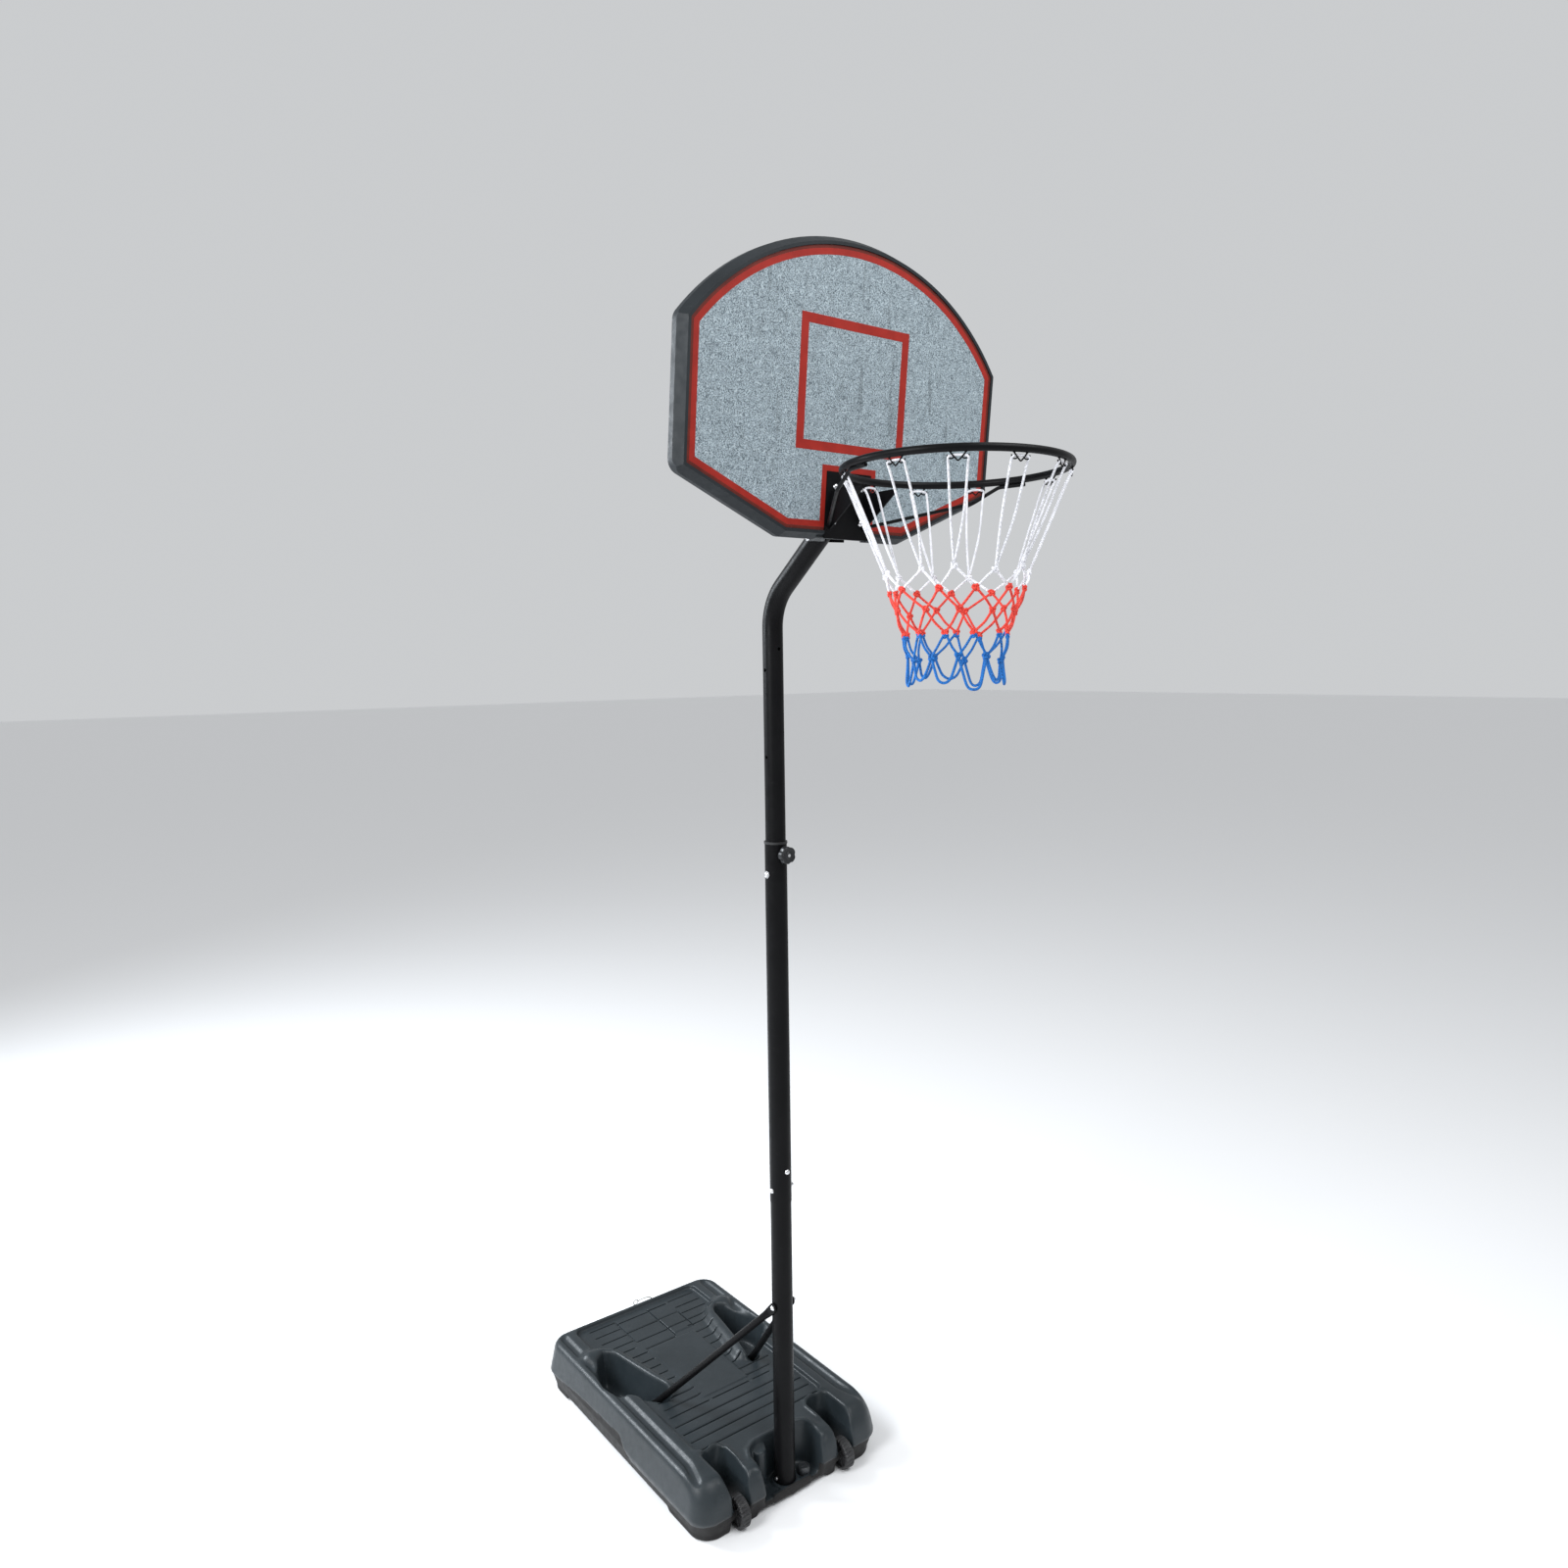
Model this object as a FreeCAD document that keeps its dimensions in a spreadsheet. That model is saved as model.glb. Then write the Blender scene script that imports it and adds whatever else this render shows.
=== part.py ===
import FreeCAD, Part
import math
import os

import Sketcher

# Portable basketball hoop: ballast tank, three-piece pole, backboard, rim and net.
# Origin on the floor under the pole's axis; the court side is -Y, up is +Z, millimetres.

os.makedirs("parts", exist_ok=True)
doc = FreeCAD.newDocument("basketball_hoop")
Vector = FreeCAD.Vector
Rotation = FreeCAD.Rotation
Placement = FreeCAD.Placement

DRIVING = {
    # ballast tank
    "tank_half_width": 303, "tank_front": -50, "tank_back": 822, "tank_top": 146,
    "tank_waist": 60, "tank_draft": 13, "tank_foot_draft": 15, "tank_corner": 55,
    "tank_wall": 3.5, "tank_edge_round": 24,
    "deck_drop": 14, "deck_half_width": 214, "deck_front": 100, "deck_back": 790,
    "foot_rise": 10, "front_foot_end": 125, "rear_foot_front": 700, "rear_foot_inner": 190,
    "ridge_gap_inner": 248, "ridge_gap_outer": 264, "ridge_gap_depth": 5,
    "ridge_gap_front": 10, "ridge_gap_back": 782,
    "pocket_inner": 168, "pocket_outer": 255, "pocket_front": 372, "pocket_back": 622,
    "pocket_floor": 52, "hood_inner": 126, "throat_inner": 138, "throat_outer": 190,
    "throat_front": 343, "throat_back": 398, "throat_floor": 70,
    "slot_inner": 148, "slot_outer": 199, "slot_back": 88,
    "bay_half_width": 95, "bay_back": 40, "tray_front": -38, "tray_top": 25,
    "fill_level": 50,
    "cap_x": 58, "cap_y": -8, "cap_radius": 17, "cap_height": 20, "neck_radius": 11,
    "cap_lift": 2.5, "cap_stem_radius": 8, "cap_stem": 12, "cap_flute": 1.9, "seal_height": 2,
    "plug_x": 30, "plug_z": 104, "plug_radius": 13, "plug_gap": 0.4, "plug_rim": 5,
    "plug_seat": 818.5, "plug_seat_depth": 14, "plug_head": 7, "plug_stem": 22,
    "leash_wire": 1.5, "leash_x": 21, "leash_z": 130, "leash_span": 62, "leash_rise": 9,
    "leash_drop": 12, "leash_bend": 7,
    # wheels
    "wheel_x": 173.5, "wheel_y": -31, "wheel_z": 40.5, "wheel_radius": 40, "wheel_width": 28,
    "axle_radius": 5, "axle_gap": 0.3, "axle_end": 3, "wheel_rim": 9, "wheel_hub": 6,
    "wheel_dish": 5,
    # poles
    "lower_radius": 27.5, "middle_radius": 28.5, "upper_radius": 26, "tube_wall": 1.5,
    "pole_foot": 15, "joint_height": 800, "swage_top": 905, "swage_radius": 26.8,
    "collar_height": 1745, "bush_lip": 6, "bush_sleeve": 16, "bush_lip_radius": 30,
    "upper_bottom": 1600, "slide_gap": 0.35, "travel": 520, "middle_setting": 300,
    "bend_corner": 2355, "bend_angle": 52, "bend_radius": 130, "arm_length": 283,
    # struts
    "strut_radius": 9.5, "strut_wall": 1.5, "strut_foot_y": 408, "strut_foot_z": 82,
    "strut_head_x": 31, "strut_head_z": 516, "strut_tab": 3, "strut_tab_width": 24,
    "strut_tab_length": 44, "strut_tab_end": 12, "strut_overlap": 4, "strut_screw": 24,
    # fasteners
    "bolt_radius": 4, "bolt_head_radius": 7, "bolt_head": 5, "nut_radius": 6.5, "nut_height": 6.5,
    "washer_radius": 9.5, "washer_height": 1.6,
    "knob_height": 1720, "knob_radius": 23, "knob_thickness": 18, "height_bolt_z": 1667,
    "joint_bolt_front": 886, "joint_bolt_side": 833, "foot_pin_height": 42, "foot_pin_radius": 5,
    "knob_boss_radius": 9, "knob_boss": 7, "knob_notch": 9, "knob_notch_reach": 6.5,
    "arm_bolt_near": 21, "arm_bolt_far": 51,
    # backboard, in its own leaning frame with the target's centre as origin
    "board_y": -320, "board_z": 2820, "board_lean": 6,
    "face_half_width": 442, "face_side_top": 85, "face_side_bottom": -202,
    "face_bottom": -318, "face_arc": 562, "face_diagonal": 23.5,
    "lip_width": 7, "lip_height": 3, "flare": 13, "flare_depth": 25, "board_depth": 42,
    "face_wall": 4, "face_sheet": 1, "board_corner": 33, "rib": 4,
    "board_bolt_x": 40, "board_bolt_top": -219, "board_bolt_bottom": -297,
    "notch_half_width": 78, "notch_top": -335, "plate_half_width": 66, "plate_top": -186,
    "cheek_length": 74, "boss_margin": 14, "boss_rise": 24,
    # rim
    "rim_y": -635, "rim_z": 2600, "rim_inside": 450, "rim_tube": 16,
    "hook_wire": 1.5, "hook_half_width": 16, "hook_shoulder": 9, "hook_shoulder_drop": 15,
    "hook_drop": 22, "cheek_x": 50, "steel_plate": 3,
    "cheek_bottom": -316, "cheek_nose": 7, "rod_radius": 4, "rod_bend": 26, "rod_drop": 30,
    "rod_low_angle": 34, "rod_low_out": 6, "rod_low_back": 12,
    # net
    "net_top": 30, "net_waist": 275, "net_bottom": 448, "net_top_radius": 226,
    "net_waist_radius": 128, "net_bottom_radius": 102, "net_thickness": 5, "net_sides": 12,
}

sheet = doc.addObject("Spreadsheet::Sheet", "Sizes")
for row, (alias, number) in enumerate(DRIVING.items(), start=1):
    sheet.set(f"A{row}", str(number))
    sheet.setAlias(f"A{row}", alias)
doc.recompute()


class Size:
    """A length or angle that carries its number and the expression it is bound with."""

    def __init__(self, number, text):
        self.number = number
        self.text = text

    def __add__(self, other):
        other = size(other)
        return Size(self.number + other.number, f"({self.text} + {other.text})")

    def __sub__(self, other):
        other = size(other)
        return Size(self.number - other.number, f"({self.text} - {other.text})")

    def __mul__(self, other):
        other = size(other)
        return Size(self.number * other.number, f"({self.text} * {other.text})")

    def __truediv__(self, other):
        other = size(other)
        return Size(self.number / other.number, f"({self.text} / {other.text})")

    def __radd__(self, other):
        return size(other) + self

    def __rsub__(self, other):
        return size(other) - self

    def __rmul__(self, other):
        return size(other) * self

    def __neg__(self):
        return size(0) - self


def size(value):
    """A plain number as a Size; a Size stays itself."""
    if isinstance(value, Size):
        return value
    return Size(float(value), f"({value})")


def s(alias):
    return Size(float(sheet.get(alias)), f"Sizes.{alias}")


def tan_of(angle):
    return Size(math.tan(math.radians(angle.number)), f"tan({angle.text} * 1 deg)")


def sin_of(angle):
    return Size(math.sin(math.radians(angle.number)), f"sin({angle.text} * 1 deg)")


def cos_of(angle):
    return Size(math.cos(math.radians(angle.number)), f"cos({angle.text} * 1 deg)")


def arc_tan_of(value):
    """The angle in degrees, as a plain number, that has this tangent."""
    return Size(math.degrees(math.atan(value.number)), f"(atan({value.text}) / 1 deg)")


def root_of(value):
    return Size(math.sqrt(value.number), f"sqrt({value.text})")


def bind(item, prop, value):
    item.setExpression(prop, size(value).text)


def place(item, x=0, y=0, z=0, axis=(0, 0, 1), angle=0):
    """Give an object its place, bound to the sheet."""
    turned = Vector(*(size(value).number for value in axis))
    item.Placement = Placement(Vector(0, 0, 0), Rotation(turned, 0))
    for letter, value in zip("xyz", (x, y, z)):
        bind(item, f"Placement.Base.{letter}", value)
    if isinstance(angle, Size) or angle:
        for letter, value in zip("xyz", axis):
            bind(item, f"Placement.Rotation.Axis.{letter}", value)
        bind(item, "Placement.Rotation.Angle", angle)


EXPORTED = []


def export(item, label):
    item.Label = label
    EXPORTED.append(item)
    return item


# ---------------------------------------------------------------- sketches and bodies


def new_body(name):
    return doc.addObject("PartDesign::Body", name)


def sketch_on(body, name, plane, offset=0):
    """A sketch on one of the body's own origin planes, moved along that plane's normal."""
    support = next(f for f in body.Origin.OriginFeatures if f.Role == plane)
    drawing = body.newObject("Sketcher::SketchObject", name)
    drawing.AttachmentSupport = [(support, "")]
    drawing.MapMode = "FlatFace"
    bind(drawing, "AttachmentOffset.Base.z", offset)
    return drawing


def fix_point(drawing, edge, end, x, y):
    """Hold one end of an edge at signed distances from the sketch's origin."""
    for kind, value in (("DistanceX", x), ("DistanceY", y)):
        index = drawing.addConstraint(Sketcher.Constraint(kind, -1, 1, edge, end, value.number))
        drawing.setExpression(f"Constraints[{index}]", value.text)


def draw_outline(drawing, corners, arcs=()):
    """A closed outline through corners; arcs maps a side's number to its (radius, midpoint)."""
    corners = [(size(x), size(y)) for x, y in corners]
    arcs = dict(arcs)
    count = len(corners)
    first = drawing.GeometryCount
    spots = [Vector(x.number, y.number, 0) for x, y in corners]
    for side in range(count):
        start, end = spots[side], spots[(side + 1) % count]
        if side in arcs:
            radius, middle = arcs[side]
            crown = Vector(size(middle[0]).number, size(middle[1]).number, 0)
            drawing.addGeometry(Part.Arc(start, crown, end), False)
        else:
            drawing.addGeometry(Part.LineSegment(start, end), False)
    ends = {}
    for side in range(count):
        edge = drawing.Geometry[first + side]
        flipped = (edge.StartPoint - spots[side]).Length > (edge.EndPoint - spots[side]).Length
        ends[side] = (2, 1) if flipped else (1, 2)
    for side, (x, y) in enumerate(corners):
        fix_point(drawing, first + side, ends[side][0], x, y)
        following = (side + 1) % count
        drawing.addConstraint(
            Sketcher.Constraint(
                "Coincident", first + side, ends[side][1], first + following, ends[following][0]
            )
        )
    for side, (radius, _) in arcs.items():
        index = drawing.addConstraint(
            Sketcher.Constraint("Radius", first + side, size(radius).number)
        )
        drawing.setExpression(f"Constraints[{index}]", size(radius).text)


def draw_box(drawing, left, right, bottom, top):
    draw_outline(drawing, [(left, bottom), (right, bottom), (right, top), (left, top)])


def draw_circle(drawing, x, y, radius):
    x, y, radius = size(x), size(y), size(radius)
    circle = Part.Circle(Vector(x.number, y.number, 0), Vector(0, 0, 1), radius.number)
    edge = drawing.addGeometry(circle, False)
    fix_point(drawing, edge, 3, x, y)
    index = drawing.addConstraint(Sketcher.Constraint("Radius", edge, radius.number))
    drawing.setExpression(f"Constraints[{index}]", radius.text)


def volume_of(body):
    doc.recompute()
    return body.Shape.Volume if not body.Shape.isNull() else 0.0


def pad(body, drawing, length, reverse=False, midplane=False, taper=0):
    feature = body.newObject("PartDesign::Pad", f"{drawing.Name}_pad")
    feature.Profile = drawing
    bind(feature, "Length", length)
    feature.Reversed = reverse
    feature.Midplane = midplane
    if taper:
        feature.TaperAngle = taper
    before = feature.BaseFeature.Shape.Volume if feature.BaseFeature else 0.0
    if volume_of(body) <= before:
        raise RuntimeError(f"{feature.Name} adds nothing")
    return feature


def pocket(body, drawing, length, reverse=False, midplane=False):
    feature = body.newObject("PartDesign::Pocket", f"{drawing.Name}_pocket")
    feature.Profile = drawing
    bind(feature, "Length", length)
    feature.Reversed = reverse
    feature.Midplane = midplane
    before = feature.BaseFeature.Shape.Volume
    if volume_of(body) >= before:
        raise RuntimeError(f"{feature.Name} cuts nothing")
    return feature


def loft(body, near, far):
    feature = body.newObject("PartDesign::AdditiveLoft", f"{far.Name}_loft")
    feature.Profile = near
    feature.Sections = [far]
    feature.Ruled = True
    doc.recompute()
    return feature


def round_edges(body, radius, chosen, name):
    """Fillet the edges of the body's present shape that chosen(edge) picks."""
    doc.recompute()
    base = body.Tip
    names = [f"Edge{n}" for n, edge in enumerate(base.Shape.Edges, start=1) if chosen(edge)]
    feature = body.newObject("PartDesign::Fillet", name)
    feature.Base = (base, names)
    bind(feature, "Radius", radius)
    doc.recompute()
    return feature


def primitive(kind, name, **dimensions):
    item = doc.addObject(f"Part::{kind}", name)
    for prop, value in dimensions.items():
        bind(item, prop, value)
    return item


def block(name, x0, x1, y0, y1, z0, z1):
    item = primitive("Box", name, Length=size(x1) - x0, Width=size(y1) - y0, Height=size(z1) - z0)
    place(item, x0, y0, z0)
    return item


def cylinder(name, radius, length, x, y, z, axis="z"):
    """A cylinder that starts at a point and runs along one axis in its positive direction."""
    item = primitive("Cylinder", name, Radius=radius, Height=length)
    turns = {"z": ((0, 0, 1), 0), "x": ((0, 1, 0), 90), "y": ((1, 0, 0), -90)}
    place(item, x, y, z, *turns[axis])
    return item


def fuse(name, items):
    item = doc.addObject("Part::MultiFuse", name)
    item.Shapes = items
    item.Refine = True
    return item


def cut(name, base, tool):
    item = doc.addObject("Part::Cut", name)
    item.Base = base
    item.Tool = tool
    item.Refine = True
    return item


def group(name, items):
    """Identical fasteners in one node, each one still a solid of its own."""
    item = doc.addObject("Part::Compound", name)
    item.Links = items
    return item


def tube(name, outer, wall, bottom, top):
    body = new_body(name)
    drawing = sketch_on(body, f"{name}_section", "XY_Plane", bottom)
    draw_circle(drawing, 0, 0, outer)
    draw_circle(drawing, 0, 0, outer - wall)
    pad(body, drawing, top - bottom)
    return body


def hexagon(name, radius, length, x, y, z, axis="z"):
    item = primitive("Prism", name, Circumradius=radius, Height=length)
    item.Polygon = 6
    turns = {"z": ((0, 0, 1), 0), "x": ((0, 1, 0), 90), "y": ((1, 0, 0), -90)}
    place(item, x, y, z, *turns[axis])
    return item


def side_block(name, side, near, far, *limits):
    """A block that lies near..far from the middle on one side, between the y and z limits."""
    x0, x1 = (-far, -near) if side < 0 else (near, far)
    return block(name, x0, x1, *limits)


def x_low(side, near, far):
    """The lower x of a range that lies near..far from the middle on one side."""
    return -s(far) if side < 0 else s(near)


def spread(count):
    """Angles of count places spaced evenly round a circle, in radians."""
    return [2 * math.pi * n / count for n in range(count)]


SIDES = ((-1, "left"), (1, "right"))
CAP_FLUTES = 14
KNOB_NOTCHES = 5
# gaps between pieces: a close bolt hole, a free one, under a head or nut, and a running one
SNUG = 0.05
FREE = 0.1
UNDER_HEAD = 0.2
RUNNING = 0.3
STRUT_GAP = 0.5
# how far a cutting shape runs past the surface it cuts
PAST = 1
# round the rim in degrees from +X: the net's hooks, and where each stay rod lies under the ring
HOOK_PLACES = (33, 65, 97, 124, 150, 195, 225, 255, 285, 315, 345)
ROD_LANDING = (20, 4)
# the board's ribs, which end in its walls: distance from the middle, lowest and highest point;
# and for the cross ribs height and half length
UPRIGHT_RIBS = ((330, -256, 199), (200, -313, 268))
CROSS_RIBS = ((-140, 447), (0, 447), (140, 399))

# ---------------------------------------------------------------- ballast tank


def draw_rounded_box(drawing, half, front, back, radius):
    """A rectangle about x = 0 with rounded corners."""
    half, front, back, radius = size(half), size(front), size(back), size(radius)
    near = radius * (1 - math.sqrt(0.5))
    corners = [(-half + radius, front), (half - radius, front), (half, front + radius),
               (half, back - radius), (half - radius, back), (-half + radius, back),
               (-half, back - radius), (-half, front + radius)]
    arcs = {1: (radius, (half - near, front + near)), 3: (radius, (half - near, back - near)),
            5: (radius, (-half + near, back - near)), 7: (radius, (-half + near, front + near))}
    draw_outline(drawing, corners, arcs)


def tank_block(name, inset, bottom, top):
    """The tank's rounded block, fullest at its waist and drawn in above and below it."""
    half = s("tank_half_width") - inset
    front = s("tank_front") + inset
    back = s("tank_back") - inset
    body = new_body(name)
    sections = []
    levels = (("foot", bottom, s("tank_foot_draft")), ("waist", s("tank_waist"), size(0)),
              ("crown", top, s("tank_draft")))
    for label, height, pull in levels:
        drawing = sketch_on(body, f"{name}_{label}", "XY_Plane", height)
        draw_rounded_box(drawing, half - pull, front + pull, back - pull,
                         s("tank_corner") - inset)
        sections.append(drawing)
    loft(body, sections[1], sections[0])
    loft(body, sections[1], sections[2])
    return body


def at_height(edge, height):
    return all(abs(v.Z - height.number) < 0.01 for v in edge.Vertexes)


def tank_hollow(name, gap, top):
    """The space inside the tank's walls, drawn in by a further gap on every side."""
    wall = s("tank_wall") + gap
    inner = tank_block(f"{name}_block", wall, s("foot_rise") + wall, top)
    keep = [block(f"{name}_bay", -s("bay_half_width") - wall, s("bay_half_width") + wall,
                  s("tank_front"), s("bay_back") + wall, s("tray_top") - wall, s("tank_top")),
            block(f"{name}_tray_lip", -s("bay_half_width") - wall, s("bay_half_width") + wall,
                  s("tank_front"), s("tray_front") + wall, 0, s("tank_top")),
            cylinder(f"{name}_socket", s("lower_radius") + wall, s("tank_top"), 0, 0, 0)]
    for side, hand in SIDES:
        keep.append(side_block(f"{name}_{hand}_slot", side, s("slot_inner") - wall,
                               s("slot_outer") + wall, s("tank_front"), s("slot_back") + wall,
                               0, s("tank_top")))
        keep.append(side_block(f"{name}_{hand}_pocket", side, s("hood_inner") - gap,
                               s("pocket_outer") + wall, s("pocket_front") - wall,
                               s("pocket_back") + wall, s("pocket_floor") - wall, s("tank_top")))
        keep.append(side_block(f"{name}_{hand}_throat", side, s("throat_inner") - wall,
                               s("throat_outer") + wall, s("throat_front") - wall,
                               s("throat_back") + wall, s("throat_floor") - wall, s("tank_top")))
        keep.append(side_block(f"{name}_{hand}_gap", side, s("ridge_gap_inner") - wall,
                               s("ridge_gap_outer") + wall, s("tank_front"), s("tank_back"),
                               s("tank_top") - s("ridge_gap_depth") - wall, s("tank_top")))
    keep.append(block(f"{name}_deck", -s("deck_half_width") - wall, s("deck_half_width") + wall,
                      s("deck_front") - wall, s("deck_back") + wall,
                      s("tank_top") - s("deck_drop") - wall, s("tank_top")))
    return cut(name, inner, fuse(f"{name}_keep", keep))


def tank_cuts():
    """What is taken out of the tank's block: deck, bay, slots, pockets, grooves and bores."""
    above = s("tank_top") + PAST
    deck_level = s("tank_top") - s("deck_drop")
    cuts = [
        block("deck_cut", -s("deck_half_width"), s("deck_half_width"), s("deck_front"),
              s("deck_back"), deck_level, above),
        block("bay_cut", -s("bay_half_width"), s("bay_half_width"), s("tank_front") - PAST,
              s("bay_back"), s("tray_top"), above),
        block("tray_cut", -s("bay_half_width"), s("bay_half_width"), s("tank_front") - PAST,
              s("tray_front"), -PAST, s("tray_top") + PAST),
        block("front_deck_cut", -s("slot_inner"), s("slot_inner"), s("tank_front") - PAST,
              s("deck_front") + PAST, deck_level, above),
        cylinder("pole_socket", s("lower_radius") + 0.4, s("tray_top"), 0, 0, s("pole_foot")),
        cylinder("cap_bore", s("neck_radius"), s("tray_top"), s("cap_x"), s("cap_y"),
                 s("tray_top") - s("tank_wall") - PAST),
        block("underside_cut", -s("tank_half_width") - PAST, s("tank_half_width") + PAST,
              s("front_foot_end"), s("rear_foot_front"), -PAST, s("foot_rise")),
        block("rear_middle_cut", -s("rear_foot_inner"), s("rear_foot_inner"),
              s("rear_foot_front") - PAST, s("tank_back") + PAST, -PAST, s("foot_rise")),
    ]
    bore_end = s("axle_end") + FREE
    for side, hand in SIDES:
        cuts.append(side_block(f"{hand}_slot_cut", side, s("slot_inner"), s("slot_outer"),
                               s("tank_front") - PAST, s("slot_back"), -PAST, above))
        cuts.append(side_block(f"{hand}_pocket_cut", side, s("pocket_inner"), s("pocket_outer"),
                               s("pocket_front"), s("pocket_back"), s("pocket_floor"), above))
        cuts.append(side_block(f"{hand}_throat_cut", side, s("throat_inner"), s("throat_outer"),
                               s("throat_front"), s("throat_back"), s("throat_floor"), above))
        cuts.append(side_block(f"{hand}_gap_cut", side, s("ridge_gap_inner"),
                               s("ridge_gap_outer"), s("ridge_gap_front"), s("ridge_gap_back"),
                               s("tank_top") - s("ridge_gap_depth"), above))
        cuts.append(cylinder(f"{hand}_axle_bore", s("axle_radius") + SNUG,
                             s("slot_outer") - s("slot_inner") + 2 * bore_end,
                             x_low(side, "slot_inner", "slot_outer") - bore_end,
                             s("wheel_y"), s("wheel_z"), "x"))
    return fuse("tank_cuts", cuts)


def tank_hoods():
    """The raised hood inside each pocket, and its end beside the throat."""
    hoods = []
    for side, hand in SIDES:
        for part, front, outer in (("hood", "throat_back", "pocket_inner"),
                                   ("hood_end", "pocket_front", "throat_inner")):
            hoods.append(side_block(f"{hand}_{part}", side, s("hood_inner"), s(outer), s(front),
                                    s("pocket_back"), s("tank_top") - s("deck_drop") - PAST,
                                    s("tank_top")))
    return hoods


def tank_bores():
    """The holes through the wall: one for each strut's foot screw and one for the rear plug."""
    x = s("pocket_inner")
    bores = [cylinder(f"{hand}_strut_bolt_bore", s("bolt_radius") + FREE, s("strut_screw") + 2,
                      start, s("strut_foot_y"), s("strut_foot_z"), "x")
             for hand, start in (("left", -x - PAST), ("right", x - s("strut_screw") - PAST))]
    bores.append(cylinder("rear_plug_bore", s("plug_radius") + s("plug_gap"), 40, s("plug_x"),
                          s("plug_seat") - 34, s("plug_z"), "y"))
    return fuse("tank_bores", bores)


def make_tank():
    outer = tank_block("tank_outer", size(0), size(0), s("tank_top"))
    round_edges(outer, s("tank_edge_round"), lambda edge: at_height(edge, s("tank_top")),
                "tank_outer_top")
    boss = cylinder("rear_plug_boss", s("plug_radius") + s("plug_rim"), s("plug_seat_depth"),
                    s("plug_x"), s("plug_seat") - s("plug_seat_depth"), s("plug_z"), "y")
    carved = cut("tank_carved", outer, tank_cuts())
    solid = fuse("tank_with_bosses", [carved, boss] + tank_hoods())
    hollow = tank_hollow("tank_hollow", size(0), s("tank_top") - s("tank_wall"))
    export(cut("tank_shell", cut("tank_hollowed", solid, hollow), tank_bores()), "tank_shell")
    doc.recompute()


def make_fill():
    """The sand in the tank, in the lower part of its hollow and a little clear of its walls."""
    space = tank_hollow("fill_space", size(1), s("tank_top") - s("tank_wall") - 1)
    level = block("fill_block", -s("tank_half_width"), s("tank_half_width"), s("bay_back") + 8,
                  s("tank_back"), 0, s("fill_level"))
    fill = doc.addObject("Part::Common", "sand_ballast")
    fill.Base = space
    fill.Tool = level
    export(fill, "sand_ballast")


def make_tank_fittings():
    """Filler cap with its seal, rear plug and the leash that keeps the plug."""
    tray, radius, height = s("tray_top"), s("cap_radius"), s("cap_height")
    seal = cut("cap_seal", cylinder("seal_disc", radius - 1, s("seal_height"), s("cap_x"),
                                    s("cap_y"), tray + RUNNING),
               cylinder("seal_bore", s("cap_stem_radius") + 0.5, 2 * s("seal_height"), s("cap_x"),
                        s("cap_y"), tray - 0.5))
    export(seal, "cap_seal")
    body = new_body("filler_cap")
    top = sketch_on(body, "cap_top", "XY_Plane", tray + s("cap_lift"))
    draw_circle(top, s("cap_x"), s("cap_y"), radius)
    pad(body, top, height - s("cap_lift"))
    plug = sketch_on(body, "cap_plug", "XY_Plane", tray + s("cap_lift"))
    draw_circle(plug, s("cap_x"), s("cap_y"), s("cap_stem_radius"))
    pad(body, plug, s("cap_stem"), reverse=True)
    flute = sketch_on(body, "cap_flute", "XY_Plane", tray + s("cap_lift"))
    for turn in spread(CAP_FLUTES):
        draw_circle(flute, s("cap_x") + radius * math.cos(turn),
                    s("cap_y") + radius * math.sin(turn), s("cap_flute"))
    pocket(body, flute, height + 5, reverse=True)
    export(body, "filler_cap")
    seat, x, z = s("plug_seat") + RUNNING, s("plug_x"), s("plug_z")
    head = cylinder("rear_plug_head", s("plug_radius") + s("plug_rim") - 1, s("plug_head"), x, seat,
                    z, "y")
    stem = cylinder("rear_plug_stem", s("plug_radius"), s("plug_stem") + 1, x,
                    seat - s("plug_stem"), z, "y")
    export(fuse("rear_plug", [head, stem]), "rear_plug")

    wire, level = s("leash_wire").number, (seat + s("plug_head") / 2).number
    left, along = s("leash_x").number, s("leash_z").number
    right = left + s("leash_span").number
    edge = x.number + s("plug_radius").number + s("plug_rim").number + wire - 0.7
    strap = doc.addObject("Part::Feature", "plug_leash")
    rise, slope = s("leash_rise").number, 15
    strap.Shape = rod_along([(left, level, along), (left + slope, level, along + rise),
                             (right - slope, level, along + rise),
                             (right, level, along - s("leash_drop").number),
                             (edge, level, z.number)], wire, s("leash_bend").number)
    strap.Placement = Placement(Vector(0, 0, 0), Rotation())
    export(strap, "plug_leash")


# ---------------------------------------------------------------- wheels


def make_wheels():
    """Two treaded wheels, each free on an axle fixed across its slot."""
    for side, hand in SIDES:
        x, y, z = side * s("wheel_x"), s("wheel_y"), s("wheel_z")
        half = s("wheel_width") / 2
        body = new_body(f"{hand}_wheel")
        tread = sketch_on(body, f"{hand}_tread", "YZ_Plane", x)
        draw_circle(tread, y, z, s("wheel_radius"))
        draw_circle(tread, y, z, s("axle_radius") + s("axle_gap"))
        pad(body, tread, s("wheel_width"), midplane=True)
        for face, reverse in ((1, False), (-1, True)):
            dish = sketch_on(body, f"{hand}_dish_{'outer' if face > 0 else 'inner'}", "YZ_Plane",
                             x + face * half)
            draw_circle(dish, y, z, s("wheel_radius") - s("wheel_rim"))
            draw_circle(dish, y, z, s("axle_radius") + s("wheel_hub"))
            pocket(body, dish, s("wheel_dish"), reverse=reverse)
        export(body, f"{hand}_wheel")
        length = s("slot_outer") - s("slot_inner") + 2 * s("axle_end")
        start = x_low(side, "slot_inner", "slot_outer") - s("axle_end")
        export(cylinder(f"{hand}_axle", s("axle_radius"), length, start, y, z, "x"), f"{hand}_axle")


# ---------------------------------------------------------------- poles


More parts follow.
